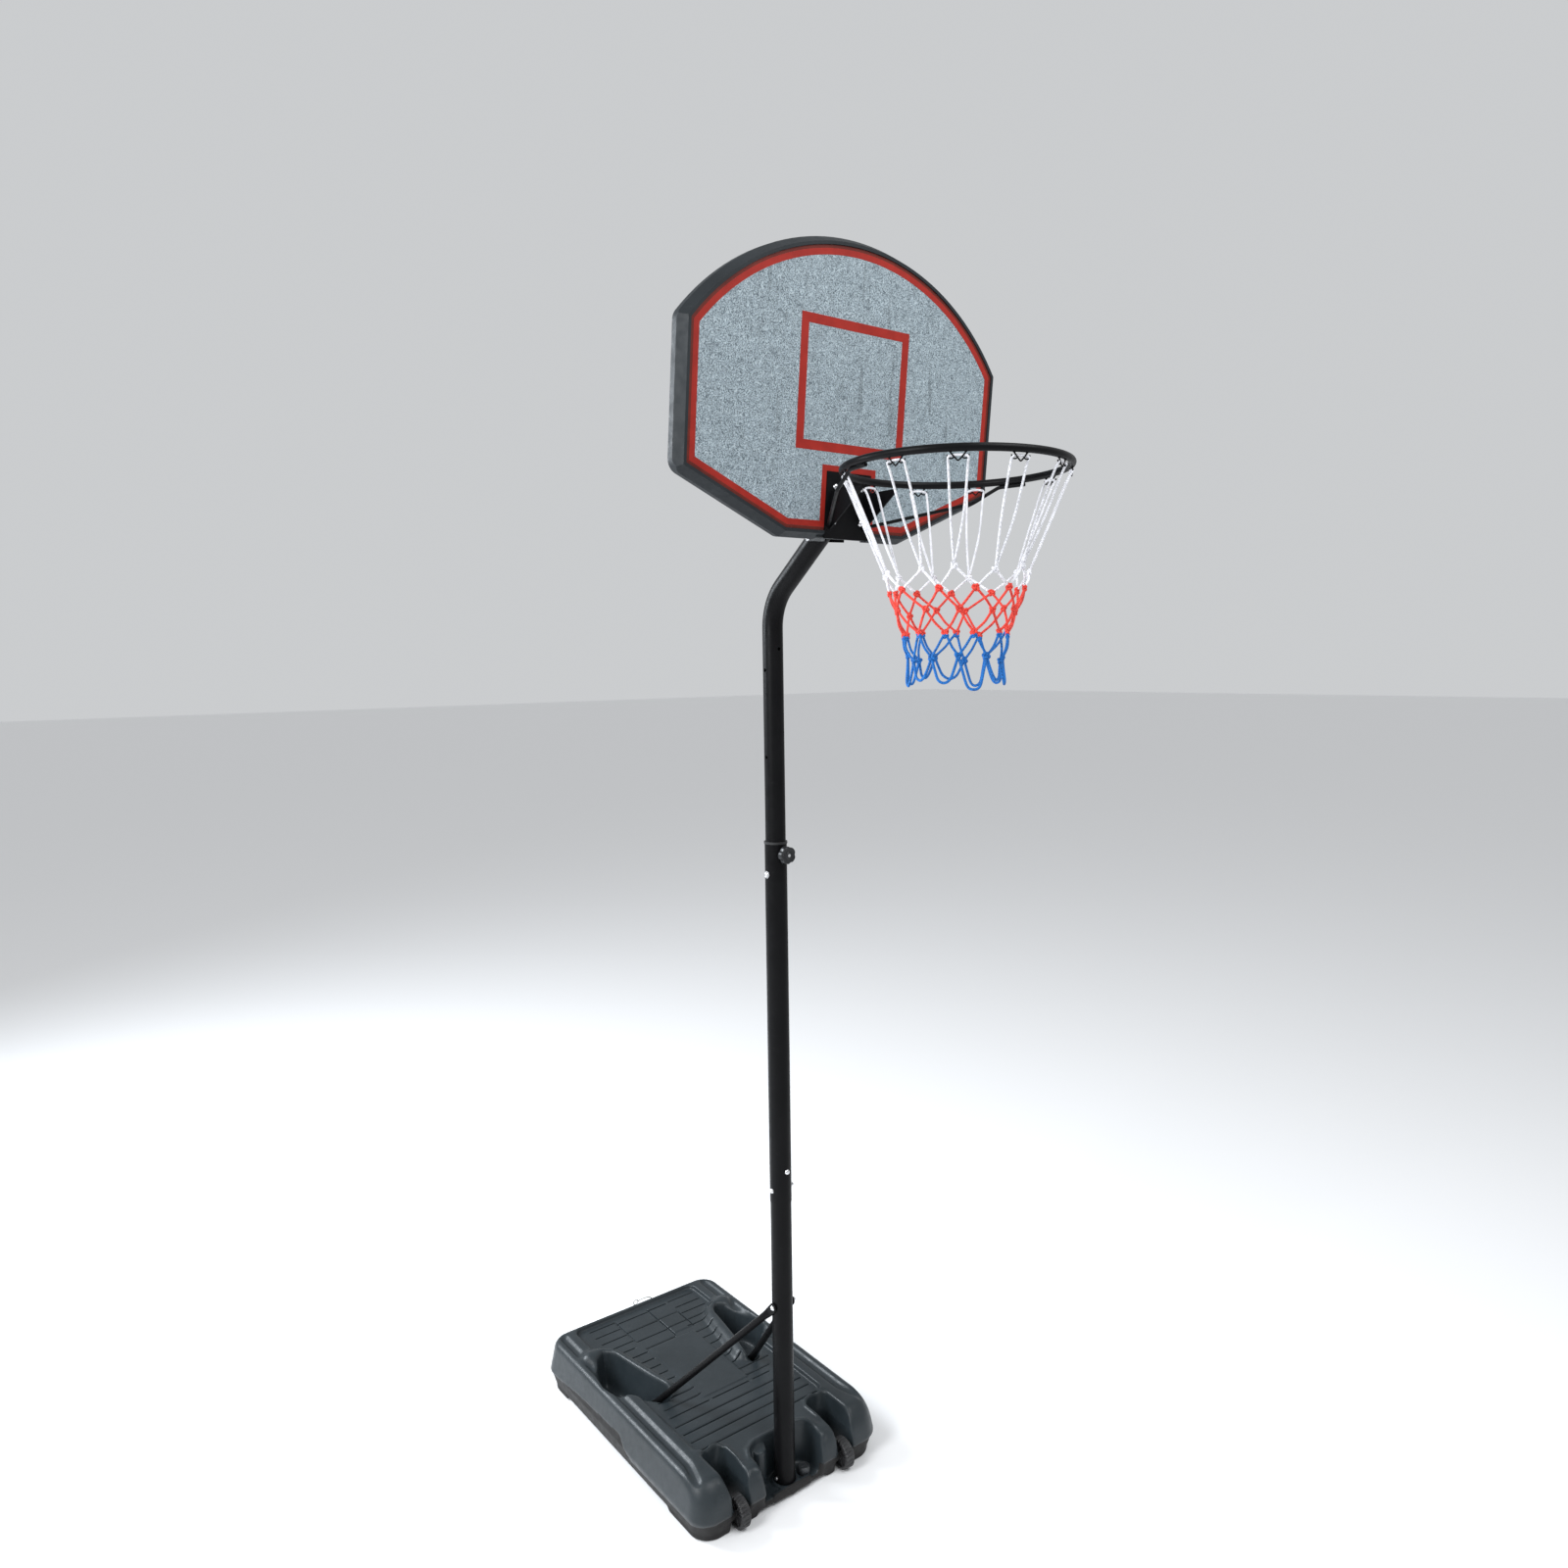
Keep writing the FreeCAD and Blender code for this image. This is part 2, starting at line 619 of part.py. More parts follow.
def make_lower_poles():
    """The lower pole with its drawn-in top end, the middle pole over it and the guide bush."""
    body = new_body("lower_tube")
    bottom = s("pole_foot") + RUNNING
    outer, wall = s("lower_radius"), s("tube_wall")
    shank = sketch_on(body, "lower_shank", "XY_Plane", bottom)
    draw_circle(shank, 0, 0, outer)
    draw_circle(shank, 0, 0, s("swage_radius") - wall)
    pad(body, shank, s("joint_height") - bottom - RUNNING)
    swage = sketch_on(body, "lower_swage", "XY_Plane", s("joint_height") - 1)
    draw_circle(swage, 0, 0, s("swage_radius"))
    draw_circle(swage, 0, 0, s("swage_radius") - wall)
    pad(body, swage, s("swage_top") - s("joint_height") + 1)
    pins = [cylinder("foot_pin_bore", s("foot_pin_radius") + SNUG, 80, -40, 0,
                     s("foot_pin_height"), "x"),
            cylinder("strut_bore", s("bolt_radius") + SNUG, 80, -40, 0, s("strut_head_z"), "x"),
            cylinder("front_bore", s("bolt_radius") + SNUG, 80, 0, -40, s("joint_bolt_front"), "y"),
            cylinder("side_bore", s("bolt_radius") + SNUG, 80, -40, 0, s("joint_bolt_side"), "x")]
    export(cut("lower_pole_bored", body, fuse("lower_bores", pins)), "lower_pole")

    middle = tube("middle_tube", s("middle_radius"), s("tube_wall"), s("joint_height"),
                  s("collar_height"))
    bores = [cylinder("middle_front", s("bolt_radius") + SNUG, 80, 0, -40,
                      s("joint_bolt_front"), "y"),
             cylinder("middle_side", s("bolt_radius") + SNUG, 80, -40, 0,
                      s("joint_bolt_side"), "x"),
             cylinder("middle_knob", s("bolt_radius") + RUNNING, 30, 0, -40, s("knob_height"), "y"),
             cylinder("middle_bolt", s("bolt_radius") + SNUG, 30, -40, 0, s("height_bolt_z"), "x")]
    export(cut("middle_pole", middle, fuse("middle_bores", bores)), "middle_pole")

    bush = new_body("pole_bush")
    lip = sketch_on(bush, "bush_lip", "XY_Plane", s("collar_height") + SNUG)
    draw_circle(lip, 0, 0, s("bush_lip_radius"))
    draw_circle(lip, 0, 0, s("upper_radius") + s("slide_gap"))
    pad(bush, lip, s("bush_lip"))
    sleeve = sketch_on(bush, "bush_sleeve", "XY_Plane", s("collar_height") + 1)
    draw_circle(sleeve, 0, 0, s("middle_radius") - s("tube_wall") - SNUG)
    draw_circle(sleeve, 0, 0, s("upper_radius") + s("slide_gap"))
    pad(bush, sleeve, s("bush_sleeve"), reverse=True)
    export(bush, "pole_bush")


def make_upper_pole():
    """The bent upper pole: a straight shank, one bend and the arm that reaches to the board."""
    half_turn = tan_of(s("bend_angle") / 2)
    tangent = s("bend_radius") * half_turn
    start_z = s("bend_corner") - tangent
    angle = s("bend_angle")
    # the pole's plane is YZ, and the arm leans towards the court
    bend_y = -(tangent * sin_of(angle))
    bend_z = s("bend_corner") + tangent * cos_of(angle)
    end_y = -(s("arm_length") * sin_of(angle))
    end_z = s("bend_corner") + s("arm_length") * cos_of(angle)
    crown_y = -(s("bend_radius") * (1 - cos_of(angle / 2)))
    crown_z = start_z + s("bend_radius") * sin_of(angle / 2)
    body = new_body("upper_tube")
    route = sketch_on(body, "upper_route", "YZ_Plane")
    points = [(size(0), s("upper_bottom")), (size(0), start_z), (bend_y, bend_z), (end_y, end_z)]
    spots = [Vector(y.number, z.number, 0) for y, z in points]
    crown = Vector(crown_y.number, crown_z.number, 0)
    route.addGeometry(Part.LineSegment(spots[0], spots[1]), False)
    route.addGeometry(Part.Arc(spots[1], crown, spots[2]), False)
    route.addGeometry(Part.LineSegment(spots[2], spots[3]), False)
    for edge, end, spot in ((0, 1, 0), (0, 2, 1), (2, 1, 2), (2, 2, 3)):
        fix_point(route, edge, end, *points[spot])
    flipped = (route.Geometry[1].StartPoint - spots[1]).Length > 0.01
    first, last = (2, 1) if flipped else (1, 2)
    route.addConstraint(Sketcher.Constraint("Coincident", 1, first, 0, 2))
    route.addConstraint(Sketcher.Constraint("Coincident", 1, last, 2, 1))
    index = route.addConstraint(Sketcher.Constraint("Radius", 1, s("bend_radius").number))
    route.setExpression(f"Constraints[{index}]", s("bend_radius").text)
    section = sketch_on(body, "upper_section", "XY_Plane", s("upper_bottom"))
    draw_circle(section, 0, 0, s("upper_radius"))
    draw_circle(section, 0, 0, s("upper_radius") - s("tube_wall"))
    doc.recompute()
    sweep = body.newObject("PartDesign::AdditivePipe", "upper_sweep")
    sweep.Profile = section
    sweep.Spine = (route, ["Edge1", "Edge2", "Edge3"])
    doc.recompute()
    holes = []
    for name, rise in (("middle", s("middle_setting")), ("low", s("travel"))):
        holes.append(cylinder(f"{name}_bolt_hole", s("bolt_radius") + RUNNING, 40, -40, 0,
                              s("height_bolt_z") + rise, "x"))
    holes.append(cylinder("low_knob_hole", s("bolt_radius") + RUNNING, 40, 0, -40,
                          s("knob_height") + s("travel"), "y"))
    for n, spot in enumerate(arm_bolts()):
        holes.append(cylinder(f"arm_hole_{n}", s("bolt_radius") + FREE, 80, -40, *spot, "x"))
    export(cut("upper_pole_bored", body, fuse("upper_holes", holes)), "upper_pole")


def arm_bolts():
    """Where the two bolts cross the arm, as y and z."""
    angle = s("bend_angle")
    spots = []
    for back in ("arm_bolt_near", "arm_bolt_far"):
        reach = s("arm_length") - s(back)
        spots.append((-(reach * sin_of(angle)), s("bend_corner") + reach * cos_of(angle)))
    return spots


def make_pole_fasteners():
    """Bolts through the pole joints, the foot pin, the clamping knob and the height bolt."""
    head, reach = s("bolt_head"), s("middle_radius")
    bolts, nuts = [], []
    for name, axis, height in (("front", "y", s("joint_bolt_front")),
                               ("side", "x", s("joint_bolt_side"))):
        where, shank, after = (
            (size(0), along, height) if axis == "y" else (along, size(0), height)
            for along in (-reach - head - UNDER_HEAD, -reach - RUNNING, reach + UNDER_HEAD))
        bolts.append(fuse(f"{name}_joint_bolt", [
            cylinder(f"{name}_joint_head", s("bolt_head_radius"), head, *where, axis),
            cylinder(f"{name}_joint_shank", s("bolt_radius"), 2 * reach + 12, *shank, axis)]))
        nuts.append(cut(f"{name}_joint_nut", hexagon(
            f"{name}_nut_hexagon", s("nut_radius"), s("nut_height"), *after, axis),
            cylinder(f"{name}_nut_bore", s("bolt_radius"), 20, *after, axis)))
    export(group("pole_joint_bolts", bolts), "pole_joint_bolts")
    export(group("pole_joint_nuts", nuts), "pole_joint_nuts")
    pin_end = s("lower_radius") + 4
    export(cylinder("pole_foot_pin", s("foot_pin_radius"), 2 * pin_end, -pin_end, 0,
                    s("foot_pin_height"), "x"), "pole_foot_pin")

    knob_z, front = s("knob_height"), s("middle_radius")
    boss = cut("knob_boss", cylinder("boss_disc", s("knob_boss_radius"), s("knob_boss"), 0,
                                    -front - s("knob_boss") + 0.5, knob_z, "y"),
               cylinder("boss_bore", s("bolt_radius") + RUNNING, 40, 0, -front - 20, knob_z, "y"))
    export(cut("knob_nut", boss, cylinder("boss_seat", front + SNUG, 40, 0, 0, knob_z - 20)),
           "knob_nut")
    washer = cut("knob_washer_disc", cylinder("washer_disc", s("washer_radius"),
                 s("washer_height"), 0, -front - 8.6, knob_z, "y"),
                 cylinder("washer_bore", s("bolt_radius") + UNDER_HEAD, 8, 0, -front - 10,
                          knob_z, "y"))
    export(washer, "knob_washer")
    body = new_body("height_knob")
    face = -front - 9 - s("knob_thickness")
    disc = sketch_on(body, "knob_disc", "XZ_Plane", -face - s("knob_thickness"))
    draw_circle(disc, 0, knob_z, s("knob_radius"))
    draw_circle(disc, 0, knob_z, s("bolt_radius") + 0.02)
    pad(body, disc, s("knob_thickness"))
    notch = sketch_on(body, "knob_notch", "XZ_Plane", -face)
    for turn in spread(KNOB_NOTCHES):
        reach = s("knob_radius") + s("knob_notch_reach")
        draw_circle(notch, reach * math.sin(turn), knob_z + reach * math.cos(turn),
                    s("knob_notch"))
    pocket(body, notch, s("knob_thickness") + 1)
    export(body, "height_knob")
    reach_in = s("upper_radius") + RUNNING
    length = -face - reach_in + 1.5
    screw = cylinder("knob_screw_shank", s("bolt_radius"), length, 0, face - 1.5, knob_z, "y")
    export(screw, "knob_screw")

    side = s("middle_radius")
    z = s("height_bolt_z")
    bolt = fuse("height_bolt", [
        cylinder("height_bolt_head", s("bolt_head_radius"), head, -side - 2 - head, 0, z, "x"),
        cylinder("height_bolt_shank", s("bolt_radius"), side + 3 - s("upper_radius") - RUNNING,
                 -side - 3, 0, z, "x")])
    export(bolt, "height_bolt")
    export(cut("height_bolt_washer", cylinder("height_washer_disc", s("washer_radius"),
               s("washer_height"), -side - 1.9, 0, z, "x"),
               cylinder("height_washer_bore", s("bolt_radius") + FREE, 8, -side - 5, 0, z, "x")),
           "height_bolt_washer")


# ---------------------------------------------------------------- struts


def make_struts():
    """A pair of tubes with flattened ends that tie the lower pole back to the tank."""
    tab, past = s("strut_tab_length"), s("strut_tab_end")
    radius, half = s("strut_radius"), s("strut_tab_width") / 2
    rise = s("strut_head_z") - s("strut_foot_z")
    foot_x = s("pocket_inner") + s("strut_tab") / 2 + STRUT_GAP
    inward = foot_x - s("strut_head_x")
    level = root_of(inward * inward + s("strut_foot_y") * s("strut_foot_y"))
    length = root_of(level * level + rise * rise)
    tilt = arc_tan_of(level / rise)
    slope = arc_tan_of(s("strut_foot_y") / rise)
    bare = tab - past - s("strut_overlap")
    start = bare / length
    for side, hand in SIDES:
        base = (side * (foot_x - start * inward), s("strut_foot_y") * (1 - start),
                s("strut_foot_z") + start * rise)
        tubes = []
        for part, bore in (("tube", radius), ("bore", radius - s("strut_wall"))):
            item = primitive("Cylinder", f"{hand}_strut_{part}", Radius=bore,
                             Height=length - 2 * bare)
            place(item, *base, (s("strut_foot_y"), -side * inward, 0), tilt)
            tubes.append(item)
        solids = [cut(f"{hand}_strut_hollow", *tubes)]
        ends = (("foot", side * foot_x, s("strut_foot_y"), s("strut_foot_z"), past),
                ("head", side * s("strut_head_x"), size(0), s("strut_head_z"), tab - past))
        for part, x, y, z, below in ends:
            plate = primitive("Box", f"{hand}_strut_{part}_plate", Length=s("strut_tab"),
                              Width=s("strut_tab_width"), Height=tab)
            place(plate, x - s("strut_tab") / 2, y - half * cos_of(slope) + below * sin_of(slope),
                  z - half * sin_of(slope) - below * cos_of(slope), (1, 0, 0), slope)
            solids.append(plate)
        holes = [cylinder(f"{hand}_strut_{part}_hole", s("bolt_radius") + SNUG, 20, x - 10,
                          y, z, "x") for part, x, y, z, _ in ends]
        export(cut(f"{hand}_strut_bored", fuse(f"{hand}_strut_solid", solids),
                   fuse(f"{hand}_strut_holes", holes)), f"{hand}_strut")
    x, z = s("strut_head_x"), s("strut_head_z")
    shank = x + 2.2
    bolt = fuse("strut_head_bolt", [
        cylinder("strut_head_bolt_head", s("bolt_head_radius"), s("bolt_head"),
                 -x - 2.2 - s("bolt_head"), 0, z, "x"),
        cylinder("strut_head_bolt_shank", s("bolt_radius"), 2 * shank + 10, -shank - 1, 0, z, "x")])
    export(bolt, "strut_head_bolt")
    export(cut("strut_head_nut", hexagon("strut_nut_hexagon", s("nut_radius"), s("nut_height"),
               x + 2.2, 0, z, "x"),
               cylinder("strut_nut_bore", s("bolt_radius"), 12, x + 1, 0, z, "x")),
           "strut_head_nut")
    feet = []
    for side, hand in SIDES:
        outer = s("pocket_inner") + s("strut_tab") + STRUT_GAP + UNDER_HEAD
        screw = s("strut_screw") + s("strut_tab") + STRUT_GAP + UNDER_HEAD
        start = -outer - s("bolt_head") if side < 0 else outer
        shank_start = -outer - 1 if side < 0 else outer - screw
        feet.append(fuse(f"{hand}_strut_foot_bolt", [
            cylinder(f"{hand}_foot_head", s("bolt_head_radius"), s("bolt_head"), start,
                     s("strut_foot_y"), s("strut_foot_z"), "x"),
            cylinder(f"{hand}_foot_shank", s("bolt_radius"), screw + 1, shank_start,
                     s("strut_foot_y"), s("strut_foot_z"), "x")]))
    export(group("strut_foot_bolts", feet), "strut_foot_bolts")


# ---------------------------------------------------------------- backboard


def lean(item, x=0, y=0, z=0):
    """Place a piece drawn in the board's own frame: upright, face towards -Y at local y = 0."""
    angle = s("board_lean")
    place(item, x, s("board_y") + y, s("board_z") + z, (1, 0, 0), angle)


def board_corners(offset):
    """The board's outline, drawn out from its printed face by an even offset."""
    offset = size(offset)
    diagonal = s("face_diagonal")
    side_pull = tan_of((90 - diagonal) / 2)
    foot_pull = tan_of(diagonal / 2)
    half = s("face_half_width") + offset
    radius = s("face_arc") + offset
    side_span = s("face_arc") * s("face_arc") - s("face_half_width") * s("face_half_width")
    centre = s("face_side_top") - root_of(side_span)
    top = centre + root_of(radius * radius - half * half)
    side = s("face_side_bottom") - offset * side_pull
    drop = s("face_side_bottom") - s("face_bottom")
    foot_x = s("face_half_width") - drop / tan_of(diagonal) + offset * foot_pull
    foot_z = s("face_bottom") - offset
    corners = [(-foot_x, foot_z), (foot_x, foot_z), (half, side), (half, top), (-half, top),
               (-half, side)]
    return corners, {3: (radius, (0, centre + radius))}


def make_board():
    """A moulded shell, flared from lip to waist, with a recessed face and an open ribbed back."""
    body = new_body("board_solid")
    lip = sketch_on(body, "board_lip", "XZ_Plane", s("lip_height"))
    draw_outline(lip, *board_corners(s("lip_width")))
    waist = sketch_on(body, "board_waist", "XZ_Plane", s("lip_height") - s("flare_depth"))
    draw_outline(waist, *board_corners(s("lip_width") + s("flare")))
    loft(body, waist, lip)
    pad(body, waist, s("board_depth") - s("flare_depth"), reverse=True)
    round_edges(body, s("board_corner"), crosses_depth, "board_corners")
    recess = sketch_on(body, "board_recess", "XZ_Plane", s("lip_height"))
    draw_outline(recess, *board_corners(0))
    pocket(body, recess, s("lip_height") + s("face_sheet"))
    back = s("lip_height") - s("board_depth")
    hollow = sketch_on(body, "board_hollow", "XZ_Plane", back)
    draw_outline(hollow, *board_corners(s("lip_width") - 4))
    pocket(body, hollow, s("board_depth") - s("lip_height") - s("face_sheet") - s("face_wall"),
           reverse=True)
    ribs = sketch_on(body, "board_ribs", "XZ_Plane", -s("face_sheet") - s("face_wall") + 1)
    half_rib = s("rib") / 2
    for side, _ in SIDES:
        for x, lowest, highest in UPRIGHT_RIBS:
            draw_box(ribs, side * x - half_rib, side * x + half_rib, lowest, highest)
    pad(body, ribs, s("board_depth") - s("lip_height") - 9, reverse=True)
    cross = sketch_on(body, "board_cross_ribs", "XZ_Plane", -s("face_sheet") - s("face_wall") + 1)
    for z, reach in CROSS_RIBS:
        draw_box(cross, -reach, reach, z - half_rib, z + half_rib)
    pad(body, cross, s("board_depth") - s("lip_height") - 12, reverse=True)
    boss = sketch_on(body, "board_boss", "XZ_Plane", -s("face_sheet") - s("face_wall") + 1)
    boss_half = s("plate_half_width") + s("boss_margin")
    draw_box(boss, -boss_half, boss_half, s("notch_top") + 2, s("plate_top") + s("boss_rise"))
    pad(body, boss, s("board_depth") - s("lip_height") - s("face_sheet") - s("face_wall") + 1,
        reverse=True)
    notch = sketch_on(body, "board_notch", "XZ_Plane", s("lip_height") + 1)
    draw_box(notch, -s("notch_half_width"), s("notch_half_width"), s("face_bottom") - 60,
             s("notch_top"))
    pocket(body, notch, s("board_depth") + 2)
    window = sketch_on(body, "board_lip_gap", "XZ_Plane", s("lip_height") + 1)
    draw_box(window, -s("plate_half_width"), s("plate_half_width"), s("face_bottom") - 60,
             s("face_bottom") + 2)
    pocket(body, window, s("lip_height") + s("face_sheet") + 1)
    bolts = [cylinder(f"board_bore_{n}", s("bolt_radius") + FREE, 90, x, -20, z, "y")
             for n, (x, z) in enumerate(board_bolts())]
    shell = cut("board_bored", body, fuse("board_bores", bolts))
    lean(shell)
    export(shell, "backboard_shell")

    face = new_body("backboard_face")
    printed = sketch_on(face, "face_outline", "XZ_Plane", 0)
    draw_outline(printed, *board_corners(-0.4))
    pad(face, printed, s("face_sheet") - SNUG, reverse=True)
    gap = sketch_on(face, "face_gap", "XZ_Plane", 1)
    draw_box(gap, -s("plate_half_width") - 0.5, s("plate_half_width") + 0.5,
             s("face_bottom") - 20, s("plate_top") + 0.5)
    pocket(face, gap, s("face_sheet") + 2)
    lean(face)
    export(face, "backboard_face")


def crosses_depth(edge):
    """Whether this is a straight edge that runs mainly from the board's face to its back."""
    if edge.Curve.TypeId != "Part::GeomLine":
        return False
    run = edge.Vertexes[1].Point - edge.Vertexes[0].Point
    return abs(run.y) > 0.5 * run.Length


def board_bolts():
    """Where the four bolts pass through plate, board and rear bracket, in the board's frame."""
    x = s("board_bolt_x")
    return [(side * x, s(row)) for row in ("board_bolt_top", "board_bolt_bottom")
            for side, _ in SIDES]


def make_rear_bracket():
    """A folded steel channel: a flange on the board's back and two cheeks beside the arm."""
    behind = s("board_depth") - s("lip_height")
    body = new_body("rear_bracket_solid")
    flange = sketch_on(body, "bracket_flange", "XZ_Plane", -behind - UNDER_HEAD)
    draw_box(flange, -s("plate_half_width"), s("plate_half_width"), s("notch_top") + 6,
             s("plate_top"))
    pad(body, flange, s("steel_plate"), reverse=True)
    cheeks = sketch_on(body, "bracket_cheeks", "XZ_Plane", -behind - UNDER_HEAD)
    near = s("upper_radius") + RUNNING
    for x0, x1 in ((-near - s("steel_plate"), -near), (near, near + s("steel_plate"))):
        draw_box(cheeks, x0, x1, s("notch_top") - 6, s("plate_top"))
    pad(body, cheeks, s("cheek_length"), reverse=True)
    bores = [cylinder(f"bracket_bore_{n}", s("bolt_radius") + FREE, 90, x, 0, z, "y")
             for n, (x, z) in enumerate(board_bolts())]
    drilled = cut("rear_bracket_drilled", body, fuse("bracket_bores", bores))
    lean(drilled)
    arm_bores = [cylinder(f"arm_bore_{n}", s("bolt_radius") + FREE, 120, -60, *spot, "x")
                 for n, spot in enumerate(arm_bolts())]
    export(cut("rear_bracket_bored", drilled, fuse("arm_bores", arm_bores)), "rear_bracket")


def make_board_fasteners():
    """Four bolts through rim plate, board and rear bracket, two across the arm, and the nuts."""
    behind = s("board_depth") - s("lip_height") + s("steel_plate") + 0.4
    front = s("steel_plate") - s("face_sheet") + 0.3
    bolts, nuts = [], []
    for n, (x, z) in enumerate(board_bolts()):
        bolts.append(fuse(f"board_bolt_{n}", [
            cylinder(f"board_bolt_head_{n}", s("bolt_head_radius"), s("bolt_head"), x,
                     -front - s("bolt_head"), z, "y"),
            cylinder(f"board_bolt_shank_{n}", s("bolt_radius"), behind + front + 9, x,
                     -front - 1, z, "y")]))
        nuts.append(cut(f"board_nut_{n}", hexagon(f"board_nut_hexagon_{n}", s("nut_radius"),
                    s("nut_height"), x, behind, z, "y"),
                    cylinder(f"board_nut_bore_{n}", s("bolt_radius"), 12, x, behind - 1, z, "y")))
    for label, items in (("rim_bolts", bolts), ("rim_nuts", nuts)):
        holder = group(label, items)
        lean(holder)
        export(holder, label)

    outer = s("upper_radius") + s("steel_plate") + 0.5
    bolts, nuts = [], []
    for n, (y, z) in enumerate(arm_bolts()):
        bolts.append(fuse(f"arm_bolt_{n}", [
            cylinder(f"arm_bolt_head_{n}", s("bolt_head_radius"), s("bolt_head"),
                     -outer - s("bolt_head"), y, z, "x"),
            cylinder(f"arm_bolt_shank_{n}", s("bolt_radius"), 2 * outer + 9, -outer - 1, y, z,
                     "x")]))
        nuts.append(cut(f"arm_nut_{n}", hexagon(f"arm_nut_hexagon_{n}", s("nut_radius"),
                    s("nut_height"), outer, y, z, "x"),
                    cylinder(f"arm_nut_bore_{n}", s("bolt_radius"), 12, outer - 1, y, z, "x")))
    export(group("arm_bolts", bolts), "arm_bolts")
    export(group("arm_nuts", nuts), "arm_nuts")


# ---------------------------------------------------------------- rim


def board_point(y, z):
    """World y and z of a point given in the board's leaning frame."""
    turn = s("board_lean")
    world_y = s("board_y") + size(y) * cos_of(turn) - size(z) * sin_of(turn)
    world_z = s("board_z") + size(y) * sin_of(turn) + size(z) * cos_of(turn)
    return world_y, world_z


def rod_along(points, radius, bend):
    """A round rod through points, with a tangent arc of the given radius at each inner one."""
    points = [Vector(*p) for p in points]
    edges = []
    start = points[0]
    for before, corner, after in zip(points, points[1:], points[2:]):
        come = (before - corner).normalize()
        leave = (after - corner).normalize()
        half = come.getAngle(leave) / 2
        pull = bend / math.tan(half)
        first, last = corner + come * pull, corner + leave * pull
        bisector = (come + leave).normalize()
        middle = corner + bisector * (bend / math.sin(half) - bend)
        edges.append(Part.LineSegment(start, first).toShape())
        edges.append(Part.Arc(first, middle, last).toShape())
        start = last
    edges.append(Part.LineSegment(start, points[-1]).toShape())
    path = Part.Wire(edges)
    section = Part.Wire([Part.Circle(points[0], points[1] - points[0], radius).toShape()])
    return path.makePipeShell([section], True, False)


def make_rim():
    """Ring, steel bracket with its cheeks, two stay rods and the net hooks."""
    radius = (s("rim_inside") + s("rim_tube")) / 2
    ring = primitive("Torus", "rim_ring", Radius1=radius, Radius2=s("rim_tube") / 2)
    place(ring, 0, s("rim_y"), s("rim_z"))
    export(ring, "rim_ring")

    plate = block("rim_plate", -s("plate_half_width") + 0.5, s("plate_half_width") - 0.5, 0,
                  s("steel_plate"), s("notch_top"), s("plate_top"))
    drilled = cut("rim_plate_drilled", plate, fuse("rim_plate_bores", [
        cylinder(f"rim_plate_bore_{n}", s("bolt_radius") + FREE, 30, x, -10, z, "y")
        for n, (x, z) in enumerate(board_bolts())]))
    lean(drilled)
    lift = s("face_sheet") - s("steel_plate") - SNUG
    plate.setExpression("Placement.Base.y", lift.text)
    under = s("rim_z") - s("rim_tube") / 2 - SNUG
    lip_y = s("rim_y") + radius - 2
    foot_y, foot_z = board_point(lift + 1, s("cheek_bottom"))
    shoulder = (under - s("board_z")) / cos_of(s("board_lean"))
    back_y, _ = board_point(lift + 1, shoulder)
    cheeks = []
    for side, hand in SIDES:
        body = new_body(f"{hand}_cheek")
        inner = side * s("cheek_x")
        cheek = sketch_on(body, f"{hand}_cheek_side", "YZ_Plane", inner)
        draw_outline(cheek, [(foot_y, foot_z), (back_y, under), (lip_y, under),
                             (lip_y, under - s("cheek_nose"))])
        pad(body, cheek, s("steel_plate"), midplane=True)
        cheeks.append(body)
    export(fuse("rim_bracket", [drilled] + cheeks), "rim_bracket")

    rim_radius, ring_z = radius.number, s("rim_z").number
    rod_z = ring_z - s("rim_tube").number / 2 - s("rod_radius").number - SNUG
    start_y, start_z = board_point(-s("rod_radius") - 2.1, s("cheek_bottom") + 12)
    for side, hand in SIDES:
        turn = math.radians(s("rod_low_angle").number)
        low = (side * (rim_radius * math.cos(turn) + s("rod_low_out").number),
               s("rim_y").number + rim_radius * math.sin(turn) + s("rod_low_back").number,
               rod_z - s("rod_drop").number)
        points = [(side * (s("cheek_x").number + 8), start_y.number, start_z.number), low]
        for turn in map(math.radians, ROD_LANDING):
            points.append((side * rim_radius * math.cos(turn),
                           s("rim_y").number + rim_radius * math.sin(turn), rod_z))
        rod = doc.addObject("Part::Feature", f"{hand}_rim_rod")
        rod.Shape = rod_along(points, s("rod_radius").number, s("rod_bend").number)
        rod.Placement = Placement(Vector(0, 0, 0), Rotation())
        export(rod, f"{hand}_rim_rod")

    top = -s("rim_tube").number / 2 - 0.9
    half, shoulder = s("hook_half_width").number, s("hook_shoulder").number
    dip, drop = -s("hook_shoulder_drop").number, -s("hook_drop").number
    hooks = []
    for place_deg in HOOK_PLACES:
        shape = rod_along([(0, -half, top), (0, -shoulder, dip), (0, 0, drop), (0, shoulder, dip),
                           (0, half, top)], s("hook_wire").number, 3)
        shape.translate(Vector(rim_radius, 0, 0))
        shape.rotate(Vector(0, 0, 0), Vector(0, 0, 1), place_deg)
        hooks.append(shape)
    node = doc.addObject("Part::Feature", "net_hooks")
    node.Shape = Part.Compound(hooks)
    node.Placement = Placement(Vector(0, s("rim_y").number, ring_z), Rotation())
    export(node, "net_hooks")


# ---------------------------------------------------------------- net


